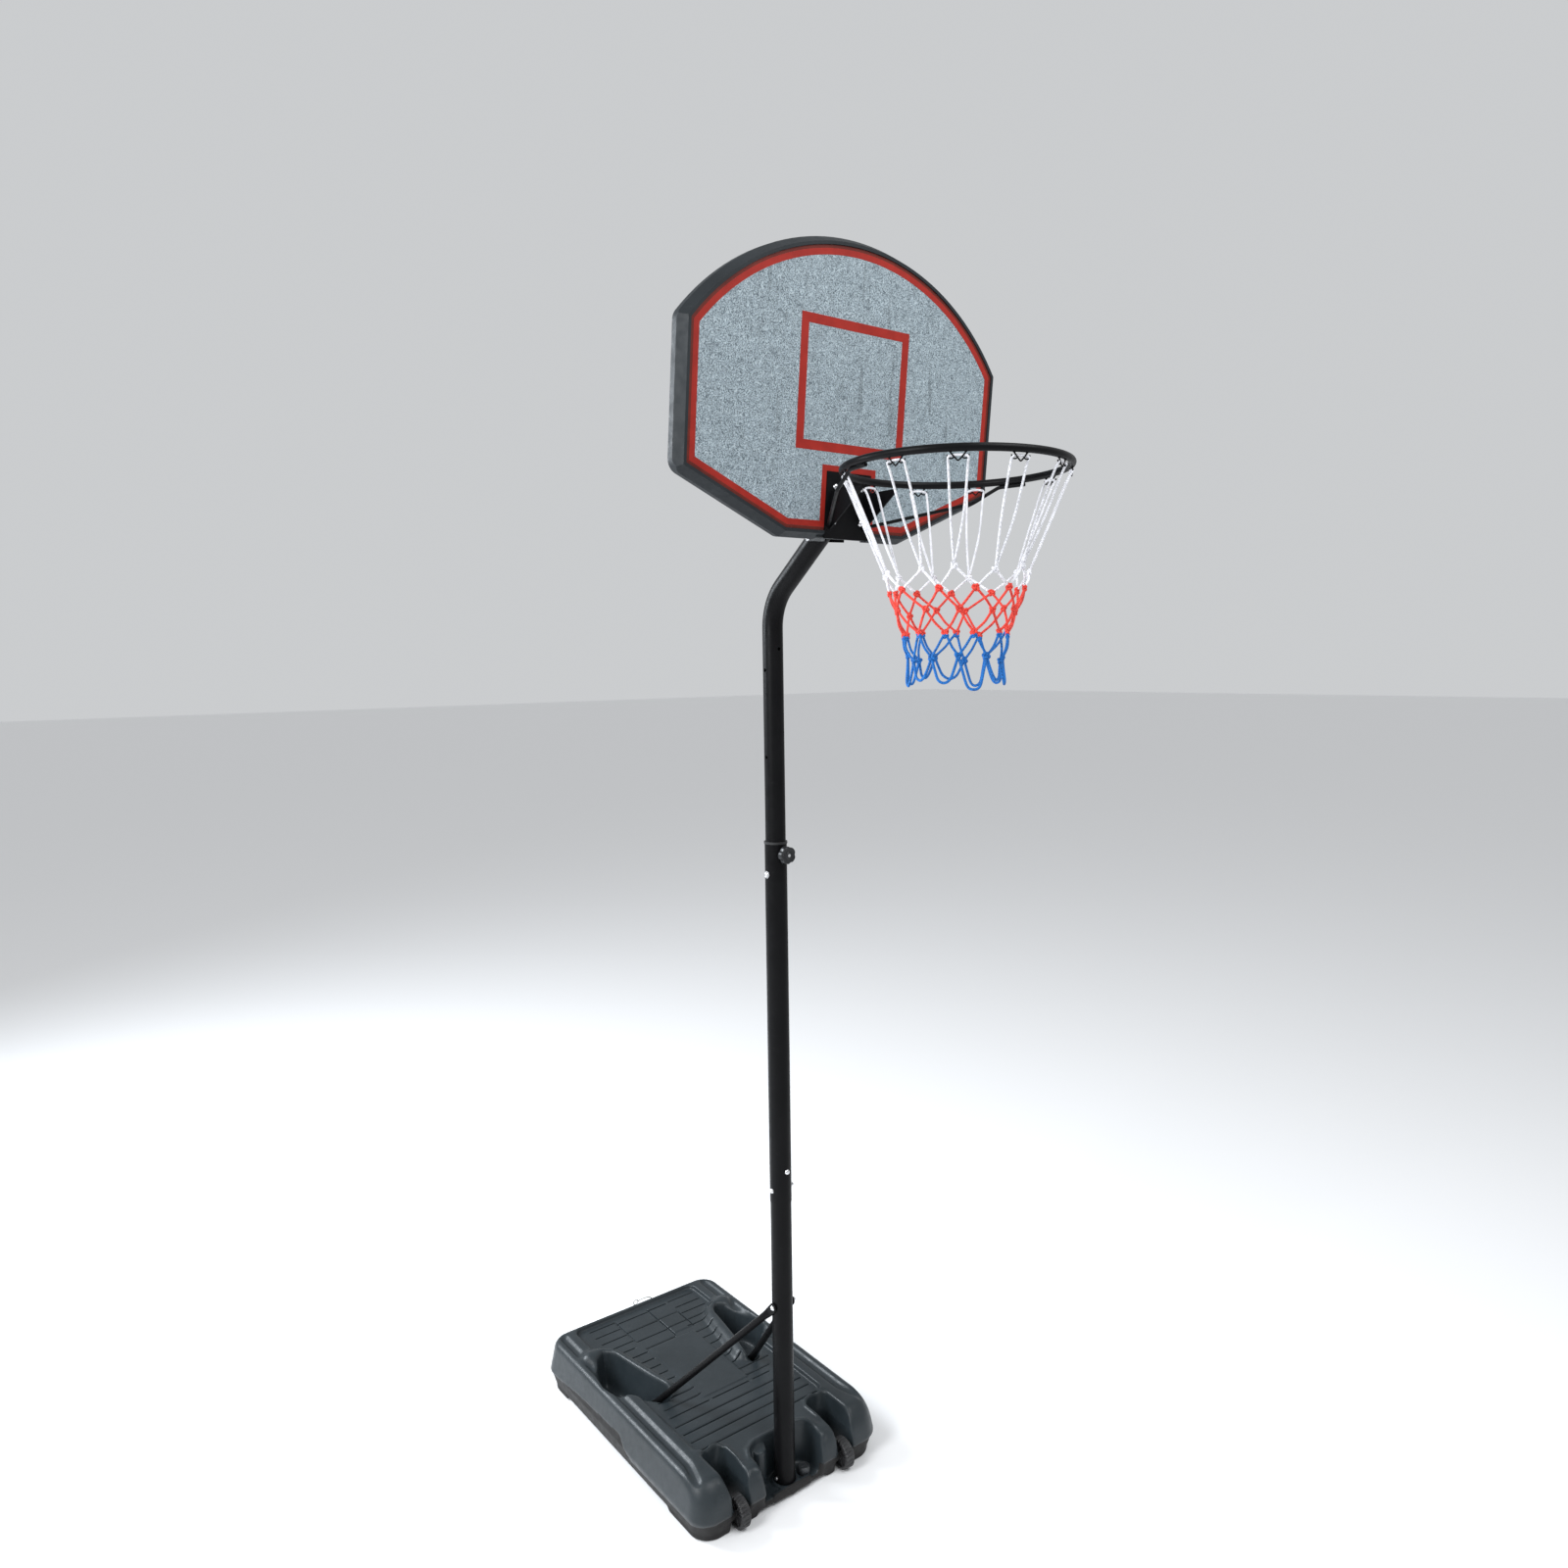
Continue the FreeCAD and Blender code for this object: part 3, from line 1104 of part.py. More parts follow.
def net_panel(count, top, bottom):
    """One flat panel of the net's funnel between two (height, radius) levels."""
    half = math.pi / count - 0.004
    wires = []
    for height, radius in (top, bottom):
        corners = []
        for r, turn in ((radius, -half), (radius, half), (radius - s("net_thickness").number, half),
                        (radius - s("net_thickness").number, -half)):
            corners.append(Vector(r * math.cos(turn), r * math.sin(turn), height))
        wires.append(Part.makePolygon(corners + corners[:1]))
    return Part.makeLoft(wires, True, True)


def make_net():
    """The net as a funnel of flat panels, open above and below."""
    count = int(s("net_sides").number)
    levels = [(-s("net_top").number, s("net_top_radius").number),
              (-s("net_waist").number, s("net_waist_radius").number),
              (-s("net_bottom").number, s("net_bottom_radius").number)]
    panels = []
    for n in range(count):
        for upper, lower in zip(levels, levels[1:]):
            panel = net_panel(count, (upper[0] - 0.5, upper[1]), (lower[0] + 0.5, lower[1]))
            panel.rotate(Vector(0, 0, 0), Vector(0, 0, 1), n * 360 / count)
            panels.append(panel)
    node = doc.addObject("Part::Feature", "net")
    node.Shape = Part.Compound(panels)
    node.Placement = Placement(Vector(0, s("rim_y").number, s("rim_z").number), Rotation())
    export(node, "net")


# ---------------------------------------------------------------- assembly


def main():
    make_tank()
    make_fill()
    make_tank_fittings()
    make_wheels()
    make_lower_poles()
    make_upper_pole()
    make_pole_fasteners()
    make_struts()
    make_board()
    make_rear_bracket()
    make_board_fasteners()
    make_rim()
    make_net()
    doc.recompute()
    for item in doc.Objects:
        if "Invalid" in item.State or "Error" in item.State:
            raise RuntimeError(f"{item.Name} failed: {item.State}")
    for item in EXPORTED:
        if item.Shape.isNull() or not item.Shape.isValid():
            raise RuntimeError(f"{item.Label} has no valid shape")
        item.Shape.exportStep(f"parts/{item.Label}.step")
        print(f"{item.Label}: {len(item.Shape.Solids)} solid(s), {item.Shape.Volume / 1000:.1f} cm3")


main()
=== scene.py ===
import math
from itertools import product

import bpy
import numpy as np
from mathutils import Matrix, Vector


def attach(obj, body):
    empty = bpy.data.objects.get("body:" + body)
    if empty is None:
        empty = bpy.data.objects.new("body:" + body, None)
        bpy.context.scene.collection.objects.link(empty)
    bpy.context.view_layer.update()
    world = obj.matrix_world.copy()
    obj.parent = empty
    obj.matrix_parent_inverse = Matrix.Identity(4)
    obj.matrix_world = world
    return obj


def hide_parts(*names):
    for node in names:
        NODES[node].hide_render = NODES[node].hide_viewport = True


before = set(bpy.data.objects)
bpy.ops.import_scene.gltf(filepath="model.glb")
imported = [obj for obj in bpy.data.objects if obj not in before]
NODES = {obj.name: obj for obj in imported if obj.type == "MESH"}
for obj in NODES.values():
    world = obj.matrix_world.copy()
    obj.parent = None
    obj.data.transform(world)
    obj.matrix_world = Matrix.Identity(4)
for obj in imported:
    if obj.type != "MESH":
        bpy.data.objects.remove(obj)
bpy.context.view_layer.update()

MM = 0.001
RNG = np.random.default_rng(7)


# ---------------------------------------------------------------- camera, floor, light


def make_camera():
    """The photo's camera, solved from the board's outline, the rim and the pole."""
    yaw, pitch, roll = math.radians(37.417), math.radians(-4.424), math.radians(-0.800)
    ahead = Vector((math.cos(pitch) * math.sin(yaw), math.cos(pitch) * math.cos(yaw),
                    math.sin(pitch)))
    right = Vector((math.cos(yaw), -math.sin(yaw), 0))
    up = right.cross(ahead)
    turned_right = right * math.cos(roll) + up * math.sin(roll)
    turned_up = up * math.cos(roll) - right * math.sin(roll)
    data = bpy.data.cameras.new("camera")
    data.sensor_width = 36
    data.lens = 26.063
    data.shift_x = 0.00032
    data.shift_y = -0.02168
    data.clip_end = 200
    camera = bpy.data.objects.new("camera", data)
    turn = Matrix((turned_right, turned_up, -ahead)).transposed().to_4x4()
    camera.matrix_world = Matrix.Translation((-1.7304, -2.3002, 2.2066)) @ turn
    bpy.context.scene.collection.objects.link(camera)
    bpy.context.scene.camera = camera


def make_light(name, place, target, width, height, power, colour):
    """A rectangular area light at place that points at target."""
    data = bpy.data.lights.new(name, "AREA")
    data.shape = "RECTANGLE"
    data.size = width
    data.size_y = height
    data.energy = power
    data.color = colour
    light = bpy.data.objects.new(name, data)
    light.location = place
    aim = Vector(target) - Vector(place)
    light.rotation_euler = aim.to_track_quat("-Z", "Y").to_euler()
    bpy.context.scene.collection.objects.link(light)


def make_stage():
    """Pale floor, even studio sky and three area lights."""
    floor_mat, tree = new_material("floor", (0.87, 0.87, 0.875), 0.75)
    grain = noise(tree, 3, 2)
    bump(tree, grain.outputs["Fac"], 0.02, 0.002)
    half = 60
    corners = [(-half, -half, 0), (half, -half, 0), (half, half, 0), (-half, half, 0)]
    mesh = bpy.data.meshes.new("floor")
    mesh.from_pydata(corners, [], [(0, 1, 2, 3)])
    mesh.materials.append(floor_mat)
    floor = bpy.data.objects.new("floor", mesh)
    bpy.context.scene.collection.objects.link(floor)
    world = bpy.data.worlds.new("studio")
    world.use_nodes = True
    daylight, cool = (0.96, 0.98, 1.0), (0.88, 0.94, 1.0)
    set_inputs(world.node_tree.nodes["Background"], {"Color": (*daylight, 1), "Strength": 0.62})
    bpy.context.scene.world = world
    make_light("key", (-4.2, -0.6, 3.6), (0, 0.1, 1.2), 1.6, 3.0, 175, daylight)
    make_light("top", (0.6, -2.6, 4.8), (0, -0.2, 1.4), 2.2, 2.2, 100, daylight)
    make_light("rim", (-2.6, 3.6, 3.3), (0, 0.2, 0.4), 1.6, 2.2, 260, cool)
    bpy.context.scene.view_settings.view_transform = "Standard"


# ---------------------------------------------------------------- materials


def set_inputs(node, values):
    """Set a node's unlinked sockets by name."""
    for name, value in values.items():
        node.inputs[name].default_value = value


def new_material(name, colour, roughness, metallic=0.0, specular=0.5):
    mat = bpy.data.materials.new(name)
    mat.use_nodes = True
    tree = mat.node_tree
    set_inputs(tree.nodes["Principled BSDF"],
               {"Base Color": (*colour, 1), "Roughness": roughness, "Metallic": metallic,
                "Specular IOR Level": specular})
    return mat, tree


def object_coords(tree, scale=(1, 1, 1)):
    coords = tree.nodes.new("ShaderNodeTexCoord")
    mapping = tree.nodes.new("ShaderNodeMapping")
    set_inputs(mapping, {"Scale": scale})
    tree.links.new(coords.outputs["Object"], mapping.inputs["Vector"])
    return mapping.outputs["Vector"]


def noise(tree, scale, detail, stretch=(1, 1, 1), roughness=0.55):
    node = tree.nodes.new("ShaderNodeTexNoise")
    set_inputs(node, {"Scale": scale, "Detail": detail, "Roughness": roughness})
    tree.links.new(object_coords(tree, stretch), node.inputs["Vector"])
    return node


def ramp(tree, source, stops):
    """Turn a grey texture into colours through (place, colour) stops."""
    node = tree.nodes.new("ShaderNodeValToRGB")
    elements = node.color_ramp.elements
    while len(elements) < len(stops):
        elements.new(0.5)
    for element, (place, colour) in zip(elements, stops):
        element.position = place
        element.color = (*colour, 1)
    tree.links.new(source, node.inputs["Fac"])
    return node.outputs["Color"]


def grey(value):
    return (value,) * 3


def spread_value(tree, source, low, high, socket):
    """Drive a shader socket between two values with a texture's middle range."""
    node = tree.nodes.new("ShaderNodeMapRange")
    set_inputs(node, {"From Min": 0.3, "From Max": 0.7, "To Min": low, "To Max": high})
    tree.links.new(source, node.inputs["Value"])
    tree.links.new(node.outputs["Result"], tree.nodes["Principled BSDF"].inputs[socket])


def mix(tree, factor, first, second, mode="MIX"):
    """Colour mix; each of factor, first and second is a socket or a plain value."""
    node = tree.nodes.new("ShaderNodeMix")
    node.data_type = "RGBA"
    node.blend_type = mode
    for name, value in (("Factor_Float", factor), ("A_Color", first), ("B_Color", second)):
        socket = next(i for i in node.inputs if i.identifier == name)
        if isinstance(value, bpy.types.NodeSocket):
            tree.links.new(value, socket)
        elif isinstance(value, tuple):
            socket.default_value = (*value, 1)
        else:
            socket.default_value = value
    return next(o for o in node.outputs if o.identifier == "Result_Color")


def bump(tree, source, strength, distance, normal=None):
    node = tree.nodes.new("ShaderNodeBump")
    set_inputs(node, {"Strength": strength, "Distance": distance})
    tree.links.new(source, node.inputs["Height"])
    if normal is not None:
        tree.links.new(normal, node.inputs["Normal"])
    tree.links.new(node.outputs["Normal"], tree.nodes["Principled BSDF"].inputs["Normal"])
    return node.outputs["Normal"]


def colour_link(tree, source):
    tree.links.new(source, tree.nodes["Principled BSDF"].inputs["Base Color"])


def textured(name, dark, light, roughness, grain_scale=900, grain_bump=0.12, patch_scale=6,
             spread=0.08, metallic=0.0, specular=0.5, scuff=None):
    """A surface with broad tone patches, a fine grain and, if asked, pale scuffs."""
    mat, tree = new_material(name, light, roughness, metallic, specular)
    patches = noise(tree, patch_scale, 4)
    colour = ramp(tree, patches.outputs["Fac"], [(0.3, dark), (0.7, light)])
    if scuff is not None:
        marks = noise(tree, 38, 8, (1, 1, 3), 0.7)
        mask = ramp(tree, marks.outputs["Fac"], [(0.60, grey(0)), (0.74, grey(0.55))])
        colour = mix(tree, mask, colour, scuff)
    colour_link(tree, colour)
    wear = noise(tree, patch_scale * 9, 5)
    spread_value(tree, wear.outputs["Fac"], roughness - spread, roughness + spread, "Roughness")
    grain = noise(tree, grain_scale, 2)
    first = bump(tree, wear.outputs["Fac"], 0.05, 0.002)
    bump(tree, grain.outputs["Fac"], grain_bump, 0.0006, first)
    return mat


def granite_print(name):
    """Speckled grey-blue print with faint upright streaks."""
    mat, tree = new_material(name, (0.30, 0.36, 0.40), 0.42, specular=0.22)
    fine = noise(tree, 430, 2, (1, 1, 0.8), 0.65)
    coarse = noise(tree, 90, 3, (1, 1, 0.5), 0.6)
    streak = noise(tree, 46, 2, (1, 1, 0.012), 0.5)
    speckle = ramp(tree, fine.outputs["Fac"], [(0.36, (0.072, 0.092, 0.108)),
                                               (0.50, (0.25, 0.305, 0.335)),
                                               (0.64, (0.44, 0.51, 0.545))])
    cloud = ramp(tree, coarse.outputs["Fac"], [(0.35, grey(0.80)), (0.62, grey(1.0))])
    bands = ramp(tree, streak.outputs["Fac"], [(0.30, grey(0.74)), (0.36, grey(0.97)),
                                               (0.60, grey(1.0))])
    tone = mix(tree, 1.0, speckle, cloud, "MULTIPLY")
    colour_link(tree, mix(tree, 1.0, tone, bands, "MULTIPLY"))
    spread_value(tree, coarse.outputs["Fac"], 0.32, 0.46, "Roughness")
    bump(tree, fine.outputs["Fac"], 0.06, 0.0004)
    return mat


def cord_material(name, dark, light):
    """Braided cord: tight slanting strands, with painted shade darkening the grooves between them,
    and a soft sheen.
    """
    mat, tree = new_material(name, light, 0.72, specular=0.3)
    weave = tree.nodes.new("ShaderNodeTexWave")
    weave.wave_type = "BANDS"
    weave.bands_direction = "DIAGONAL"
    set_inputs(weave, {"Scale": 180, "Distortion": 2.5, "Detail": 2})
    tree.links.new(object_coords(tree), weave.inputs["Vector"])
    tone = noise(tree, 60, 3)
    # painted shade: the colour runs from light on the raised strands to dark in the braid's grooves
    groove_shaded_weave = mix(tree, weave.outputs["Fac"], dark, light)
    shade = ramp(tree, tone.outputs["Fac"], [(0.3, grey(0.78)), (0.6, grey(1.0))])
    colour_link(tree, mix(tree, 1.0, groove_shaded_weave, shade, "MULTIPLY"))
    spread_value(tree, tone.outputs["Fac"], 0.62, 0.85, "Roughness")
    bump(tree, weave.outputs["Fac"], 0.5, 0.001)
    return mat


def make_materials():
    mats = {}
    mats["tank"] = textured("tank_plastic", (0.0135, 0.0185, 0.0215), (0.0225, 0.029, 0.0335), 0.38,
                            grain_scale=700, grain_bump=0.22, scuff=(0.045, 0.052, 0.058),
                            specular=0.32)
    # lower wall: the same plastic, rougher, and darker and warmer as painted shade below the parting
    # line
    mats["tank_low"] = textured("tank_lower_painted_shade_plastic", (0.0125, 0.012, 0.012),
                                (0.018, 0.0172, 0.017), 0.55, grain_scale=600, grain_bump=0.3,
                                scuff=(0.045, 0.043, 0.041), specular=0.2)
    mats["sand"] = textured("ballast_sand", (0.42, 0.35, 0.24), (0.62, 0.54, 0.40), 0.9,
                            grain_bump=0.6, patch_scale=20)
    mats["rubber"] = textured("seal_rubber", (0.012, 0.012, 0.012), (0.03, 0.03, 0.03), 0.7)
    mats["leash"] = textured("leash_vinyl", (0.42, 0.42, 0.40), (0.62, 0.62, 0.60), 0.4,
                             patch_scale=60)
    mats["cap"] = textured("cap_plastic", (0.022, 0.025, 0.028), (0.04, 0.044, 0.048), 0.42,
                           scuff=(0.08, 0.085, 0.09))
    mats["wheel"] = textured("wheel_plastic", (0.010, 0.010, 0.011), (0.022, 0.022, 0.023), 0.5,
                             grain_scale=800, grain_bump=0.2, scuff=(0.06, 0.06, 0.06))
    mats["steel"] = textured("bare_steel", (0.34, 0.34, 0.35), (0.56, 0.56, 0.57), 0.36,
                             grain_scale=1500, metallic=1.0, patch_scale=60)
    mats["bright"] = textured("bright_steel", (0.58, 0.59, 0.60), (0.80, 0.80, 0.81), 0.22,
                              grain_scale=1500, grain_bump=0.05, metallic=1.0, patch_scale=80)
    mats["powder"] = textured("black_powder_coat", (0.0030, 0.0030, 0.0034),
                              (0.0058, 0.0058, 0.0064), 0.38, grain_scale=1100, grain_bump=0.10,
                              scuff=(0.012, 0.012, 0.013), specular=0.085)
    mats["bush"] = textured("bush_plastic", (0.008, 0.008, 0.009), (0.015, 0.015, 0.016), 0.5)
    mats["knob"] = textured("knob_plastic", (0.009, 0.0095, 0.0105), (0.018, 0.019, 0.021), 0.36,
                            grain_scale=700, scuff=(0.045, 0.045, 0.047), specular=0.3)
    mats["board"] = textured("board_plastic", (0.0095, 0.012, 0.0142), (0.0155, 0.0194, 0.0228), 0.55,
                             grain_scale=650, grain_bump=0.25, scuff=(0.035, 0.04, 0.044),
                             specular=0.24)
    mats["red"] = textured("red_print", (0.235, 0.013, 0.008), (0.30, 0.018, 0.011), 0.46,
                           grain_bump=0.05, patch_scale=30, specular=0.2)
    # painted shadow: the darker red where the frame's lip shades the outer edge of the red border
    mats["dark_red"] = textured("red_lip_shadow", (0.085, 0.011, 0.007), (0.13, 0.017, 0.010), 0.46,
                                patch_scale=30, specular=0.2)
    mats["granite"] = granite_print("granite_print")
    mats["white_cord"] = cord_material("white_cord", (0.60, 0.60, 0.64), (0.86, 0.86, 0.89))
    mats["red_cord"] = cord_material("red_cord", (0.55, 0.035, 0.025), (0.86, 0.075, 0.05))
    mats["blue_cord"] = cord_material("blue_cord", (0.006, 0.085, 0.30), (0.012, 0.17, 0.55))
    return mats


NODE_MATERIALS = {
    "sand_ballast": "sand", "cap_seal": "rubber", "rear_plug": "rubber",
    "left_axle": "steel", "right_axle": "steel", "lower_pole": "powder", "middle_pole": "powder",
    "pole_bush": "bush", "upper_pole": "powder", "pole_foot_pin": "steel", "knob_nut": "powder",
    "knob_washer": "bright", "knob_screw": "bright", "height_bolt_washer": "bright",
    "rear_bracket": "powder", "rim_ring": "powder", "rim_bracket": "powder",
    "left_rim_rod": "powder", "right_rim_rod": "powder", "backboard_shell": "board",
}


def dress_nodes():
    """Give every CAD node that stays visible its detailed material."""
    for name, key in NODE_MATERIALS.items():
        mesh = NODES[name].data
        if not mesh.materials:
            mesh.materials.append(MATS[key])
        for place in range(len(mesh.materials)):
            mesh.materials[place] = MATS[key]


# ---------------------------------------------------------------- mesh helpers, millimetres


BOLT_RADIUS = 4.0


def add_piece(name, points, faces, body, slot, mats, nodes=(), face_mats=None, sharp=None):
    """A visual piece from millimetre points, riding on a body and replacing CAD nodes."""
    mesh = bpy.data.meshes.new(name)
    mesh.from_pydata((np.asarray(points, float) * MM).tolist(), [], faces)
    for mat in mats:
        mesh.materials.append(MATS[mat])
    if face_mats is not None:
        mesh.polygons.foreach_set("material_index", face_mats)
    mesh.shade_smooth()
    if sharp is not None:
        mesh.set_sharp_from_angle(angle=math.radians(sharp))
    mesh.validate()
    mesh.update()
    obj = bpy.data.objects.new(name, mesh)
    bpy.context.scene.collection.objects.link(obj)
    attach(obj, body)
    if nodes:
        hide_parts(*nodes)


def join(parts):
    """One point list and face list from several (points, faces) pairs."""
    points, faces = [], []
    for more, sides in parts:
        shift = len(points)
        points.extend(list(p) for p in more)
        faces.extend([tuple(i + shift for i in face) for face in sides])
    return points, faces


def ring_faces(rings, count):
    """Quads between rings of equal count, with both ends capped."""
    faces = []
    for n in range(rings - 1):
        a, b = n * count, (n + 1) * count
        for i in range(count):
            j = (i + 1) % count
            faces.append((a + i, a + j, b + j, b + i))
    faces.append(tuple(range(count))[::-1])
    faces.append(tuple(range((rings - 1) * count, rings * count)))
    return faces


def frame_on(axis):
    """Two unit vectors at right angles to an axis, and the axis itself as a unit vector."""
    axis = Vector(axis).normalized()
    helper = Vector((0, 0, 1)) if abs(axis.z) < 0.9 else Vector((1, 0, 0))
    first = helper.cross(axis).normalized()
    return first, axis.cross(first), axis


def lathe(profile, place, axis, outline=None, count=32):
    """Turn (height, radius) pairs about an axis; outline scales the radius by angle and step."""
    first, second, along = frame_on(axis)
    points = []
    for step, (height, radius) in enumerate(profile):
        for i in range(count):
            turn = 2 * math.pi * i / count
            reach = radius * (outline(turn, step) if outline else 1)
            points.append(Vector(place) + along * height
                          + (first * math.cos(turn) + second * math.sin(turn)) * reach)
    return points, ring_faces(len(profile), count)


def hex_outline(turn, step):
    """Scale a circle to a hexagon, the same at every step of the profile."""
    wedge = math.pi / 3
    return math.cos(wedge / 2) / math.cos((turn % wedge) - wedge / 2)


def bolt_head(place, axis, radius=7, height=5):
    """A low domed head with a washer face, standing on place and pointing along axis."""
    brim = 1.2
    profile = [(-1, BOLT_RADIUS), (0, BOLT_RADIUS), (0, radius), (0.9, radius),
               (1.4, radius - 0.5)]
    for n in range(7):
        turn = math.radians(12 + n * 12.5)
        profile.append((brim + (height - brim) * math.sin(turn),
                        (radius - 0.4) * math.cos(turn)))
    return lathe(profile, place, axis)


def nut(place, axis, radius=6.5, height=6.5, thread=8):
    """A chamfered hexagon nut with the end of the bolt's thread standing out of it."""
    body = lathe([(0, radius - 1.0), (0.8, radius), (height - 0.9, radius), (height, radius - 1.2),
                  (height, 4.4)], place, axis, hex_outline, 36)
    half_pitch, root = 0.6, 3.55
    turns = [(0.2, 3.5)]
    for n in range(int(thread / half_pitch)):
        turns.append((0.3 + n * half_pitch, BOLT_RADIUS if n % 2 else root))
    turns.append((thread + 0.5, 3.2))
    return join([body, lathe(turns, place, axis, count=20)])


def heading(path, n):
    """The unit direction of a path at one of its points."""
    return (path[min(n + 1, len(path) - 1)] - path[max(n - 1, 0)]).normalized()


def tube_along(path, radius, count=12):
    """A closed-ended round tube through a list of points; radius may vary point by point."""
    path = [Vector(p) for p in path]
    radii = radius if isinstance(radius, (list, tuple)) else [radius] * len(path)
    points = []
    side = None
    for n, spot in enumerate(path):
        ahead = heading(path, n)
        side = frame_on(ahead)[0] if side is None else (side - ahead * side.dot(ahead)).normalized()
        other = ahead.cross(side)
        for i in range(count):
            turn = 2 * math.pi * i / count
            points.append(spot + (side * math.cos(turn) + other * math.sin(turn)) * radii[n])
    return points, ring_faces(len(path), count)


def smooth_path(points, steps=6):
    """Catmull-Rom points through a list of points."""
    points = [Vector(p) for p in points]
    padded = [points[0] * 2 - points[1]] + points + [points[-1] * 2 - points[-2]]
    out = []
    for a, b, c, d in zip(padded, padded[1:], padded[2:], padded[3:]):
        for n in range(steps):
            t = n / steps
            out.append(0.5 * (2 * b + (c - a) * t + (2 * a - 5 * b + 4 * c - d) * t * t
                              + (3 * b - a - 3 * c + d) * t ** 3))
    out.append(points[-1])
    return out


# ---------------------------------------------------------------- tank


TANK_TOP, DECK = 146.0, 132.0
TANK_HALF_WIDTH, TANK_HALF_LENGTH, TANK_CORNER = 303, 436, 55
TANK_MIDDLE = 386  # how far the tank's centre lies behind the pole
WAIST = 60  # the walls draw in above and below this height
TOP_DRAFT, FOOT_DRAFT = 13, 15
WHEEL_X, WHEEL_Y, WHEEL_Z = 173.5, -31, 40.5
STRUT_FOOT, STRUT_HEAD = (170, 408, 82), (31, 0, 516)
# height of the parting line along the tank, then lines and outlines in plan
PARTING = [(-60, 52), (-41, 51), (-4, 46), (306, 38), (361, 84), (614, 72), (791, 51), (830, 50)]
HOOD = [(236, 640), (212, 634), (192, 616), (179, 594), (171, 556), (158, 490), (147, 425),
        (139, 382)]
POCKET = [(204, 622), (190, 610), (182, 592), (177, 560), (167, 500), (156, 440), (145, 400),
          (139, 372), (138, 352), (146, 338), (166, 344), (190, 374), (212, 400), (230, 421),
          (249, 433), (266, 458), (272, 493), (266, 530), (249, 578), (226, 612)]
SLOT_RIM = [(168, 100), (150, 95), (139, 76), (139, 40), (143, 0), (147, -30)]
BAY_RIM = [(107, -28), (106, 6), (94, 34), (64, 50), (-64, 50), (-94, 34), (-106, 6), (-107, -28)]
# moulded lines across the deck (from x, to x, y), and the short ones that cross them (x, y, y)
GROOVE_HALF, GROOVE_DEPTH = 2.1, 5
GROOVES = (
    [(-174, -85, y) for y in (770, 730, 690, 650)]
    + [(-158, -98, 615), (-148, -80, 574), (-137, -80, 535), (-128, -80, 497),
       (-115, -78, 458), (-110, -78, 421)]
    + [(108, 204, y) for y in (765, 722, 683, 642)]
    + [(86, 160, 610), (90, 152, 568), (89, 140, 529), (91, 132, 490), (91, 118, 451),
       (91, 118, 412), (91, 124, 372), (87, 196, 332), (87, 175, 296)]
    + [(-80, 28, y) for y in (757, 696, 637)] + [(-76, 28, 588)]
    + [(34, 100, y) for y in (762, 698, 640)]
    + [(-181, -62, y) for y in (344, 308)]
    + [(-191, -57, 270), (-50, 80, 270), (90, 155, 270)]
    + [(-196, 204, y) for y in (229, 190, 152, 112)])
JOGS = [(31, 593, 770), (104, 605, 705), (-83, 640, 775)]


def smooth_max(a, b, k):
    """The larger of two fields, blended over a width k where they meet."""
    h = np.maximum(k - np.abs(a - b), 0) / k
    return np.maximum(a, b) + h * h * k * 0.25


def smooth_min(a, b, k):
    return -smooth_max(-a, -b, k)


def smooth_step(t):
    t = np.clip(t, 0, 1)
    return t * t * (3 - 2 * t)


def past_sides(qx, qy):
    """Signed distance from a corner, given how far a point lies past each of its sides."""
    return np.hypot(np.maximum(qx, 0), np.maximum(qy, 0)) + np.minimum(np.maximum(qx, qy), 0)


def rounded_rect(x, y, cx, cy, hx, hy, r):
    """Signed distance in plan from a rectangle with rounded corners."""
    return past_sides(np.abs(x - cx) - (hx - r), np.abs(y - cy) - (hy - r)) - r


def path_distance(x, y, corners):
    """Distance in plan from an open line."""
    best = None
    for (ax, ay), (bx, by) in zip(corners, corners[1:]):
        dx, dy = bx - ax, by - ay
        t = np.clip(((x - ax) * dx + (y - ay) * dy) / (dx * dx + dy * dy), 0, 1)
        d = np.hypot(x - ax - t * dx, y - ay - t * dy)
        best = d if best is None else np.minimum(best, d)
    return best


def polygon_distance(x, y, corners):
    """Signed distance in plan from a closed outline, negative inside."""
    loop = corners + corners[:1]
    inside = np.zeros(np.broadcast(x, y).shape, bool)
    for (ax, ay), (bx, by) in zip(loop, loop[1:]):
        crosses = ((ay > y) != (by > y)) & (x < (bx - ax) * (y - ay) / (by - ay + 1e-9) + ax)
        inside ^= crosses
    away = path_distance(x, y, loop)
    return np.where(inside, -away, away)


def merge_lines(lines, gap=0.9):
    """Sorted grid lines without those that lie within gap of the one before."""
    kept = []
    for value in sorted(lines):
        if not kept or value - kept[-1] > gap:
            kept.append(value)
    return np.array(kept)


def lines_near(lines, mid):
    """The slice of grid lines that a groove at mid can touch."""
    near = np.flatnonzero(np.abs(lines - mid) < 5)
    return slice(near[0], near[-1] + 1)


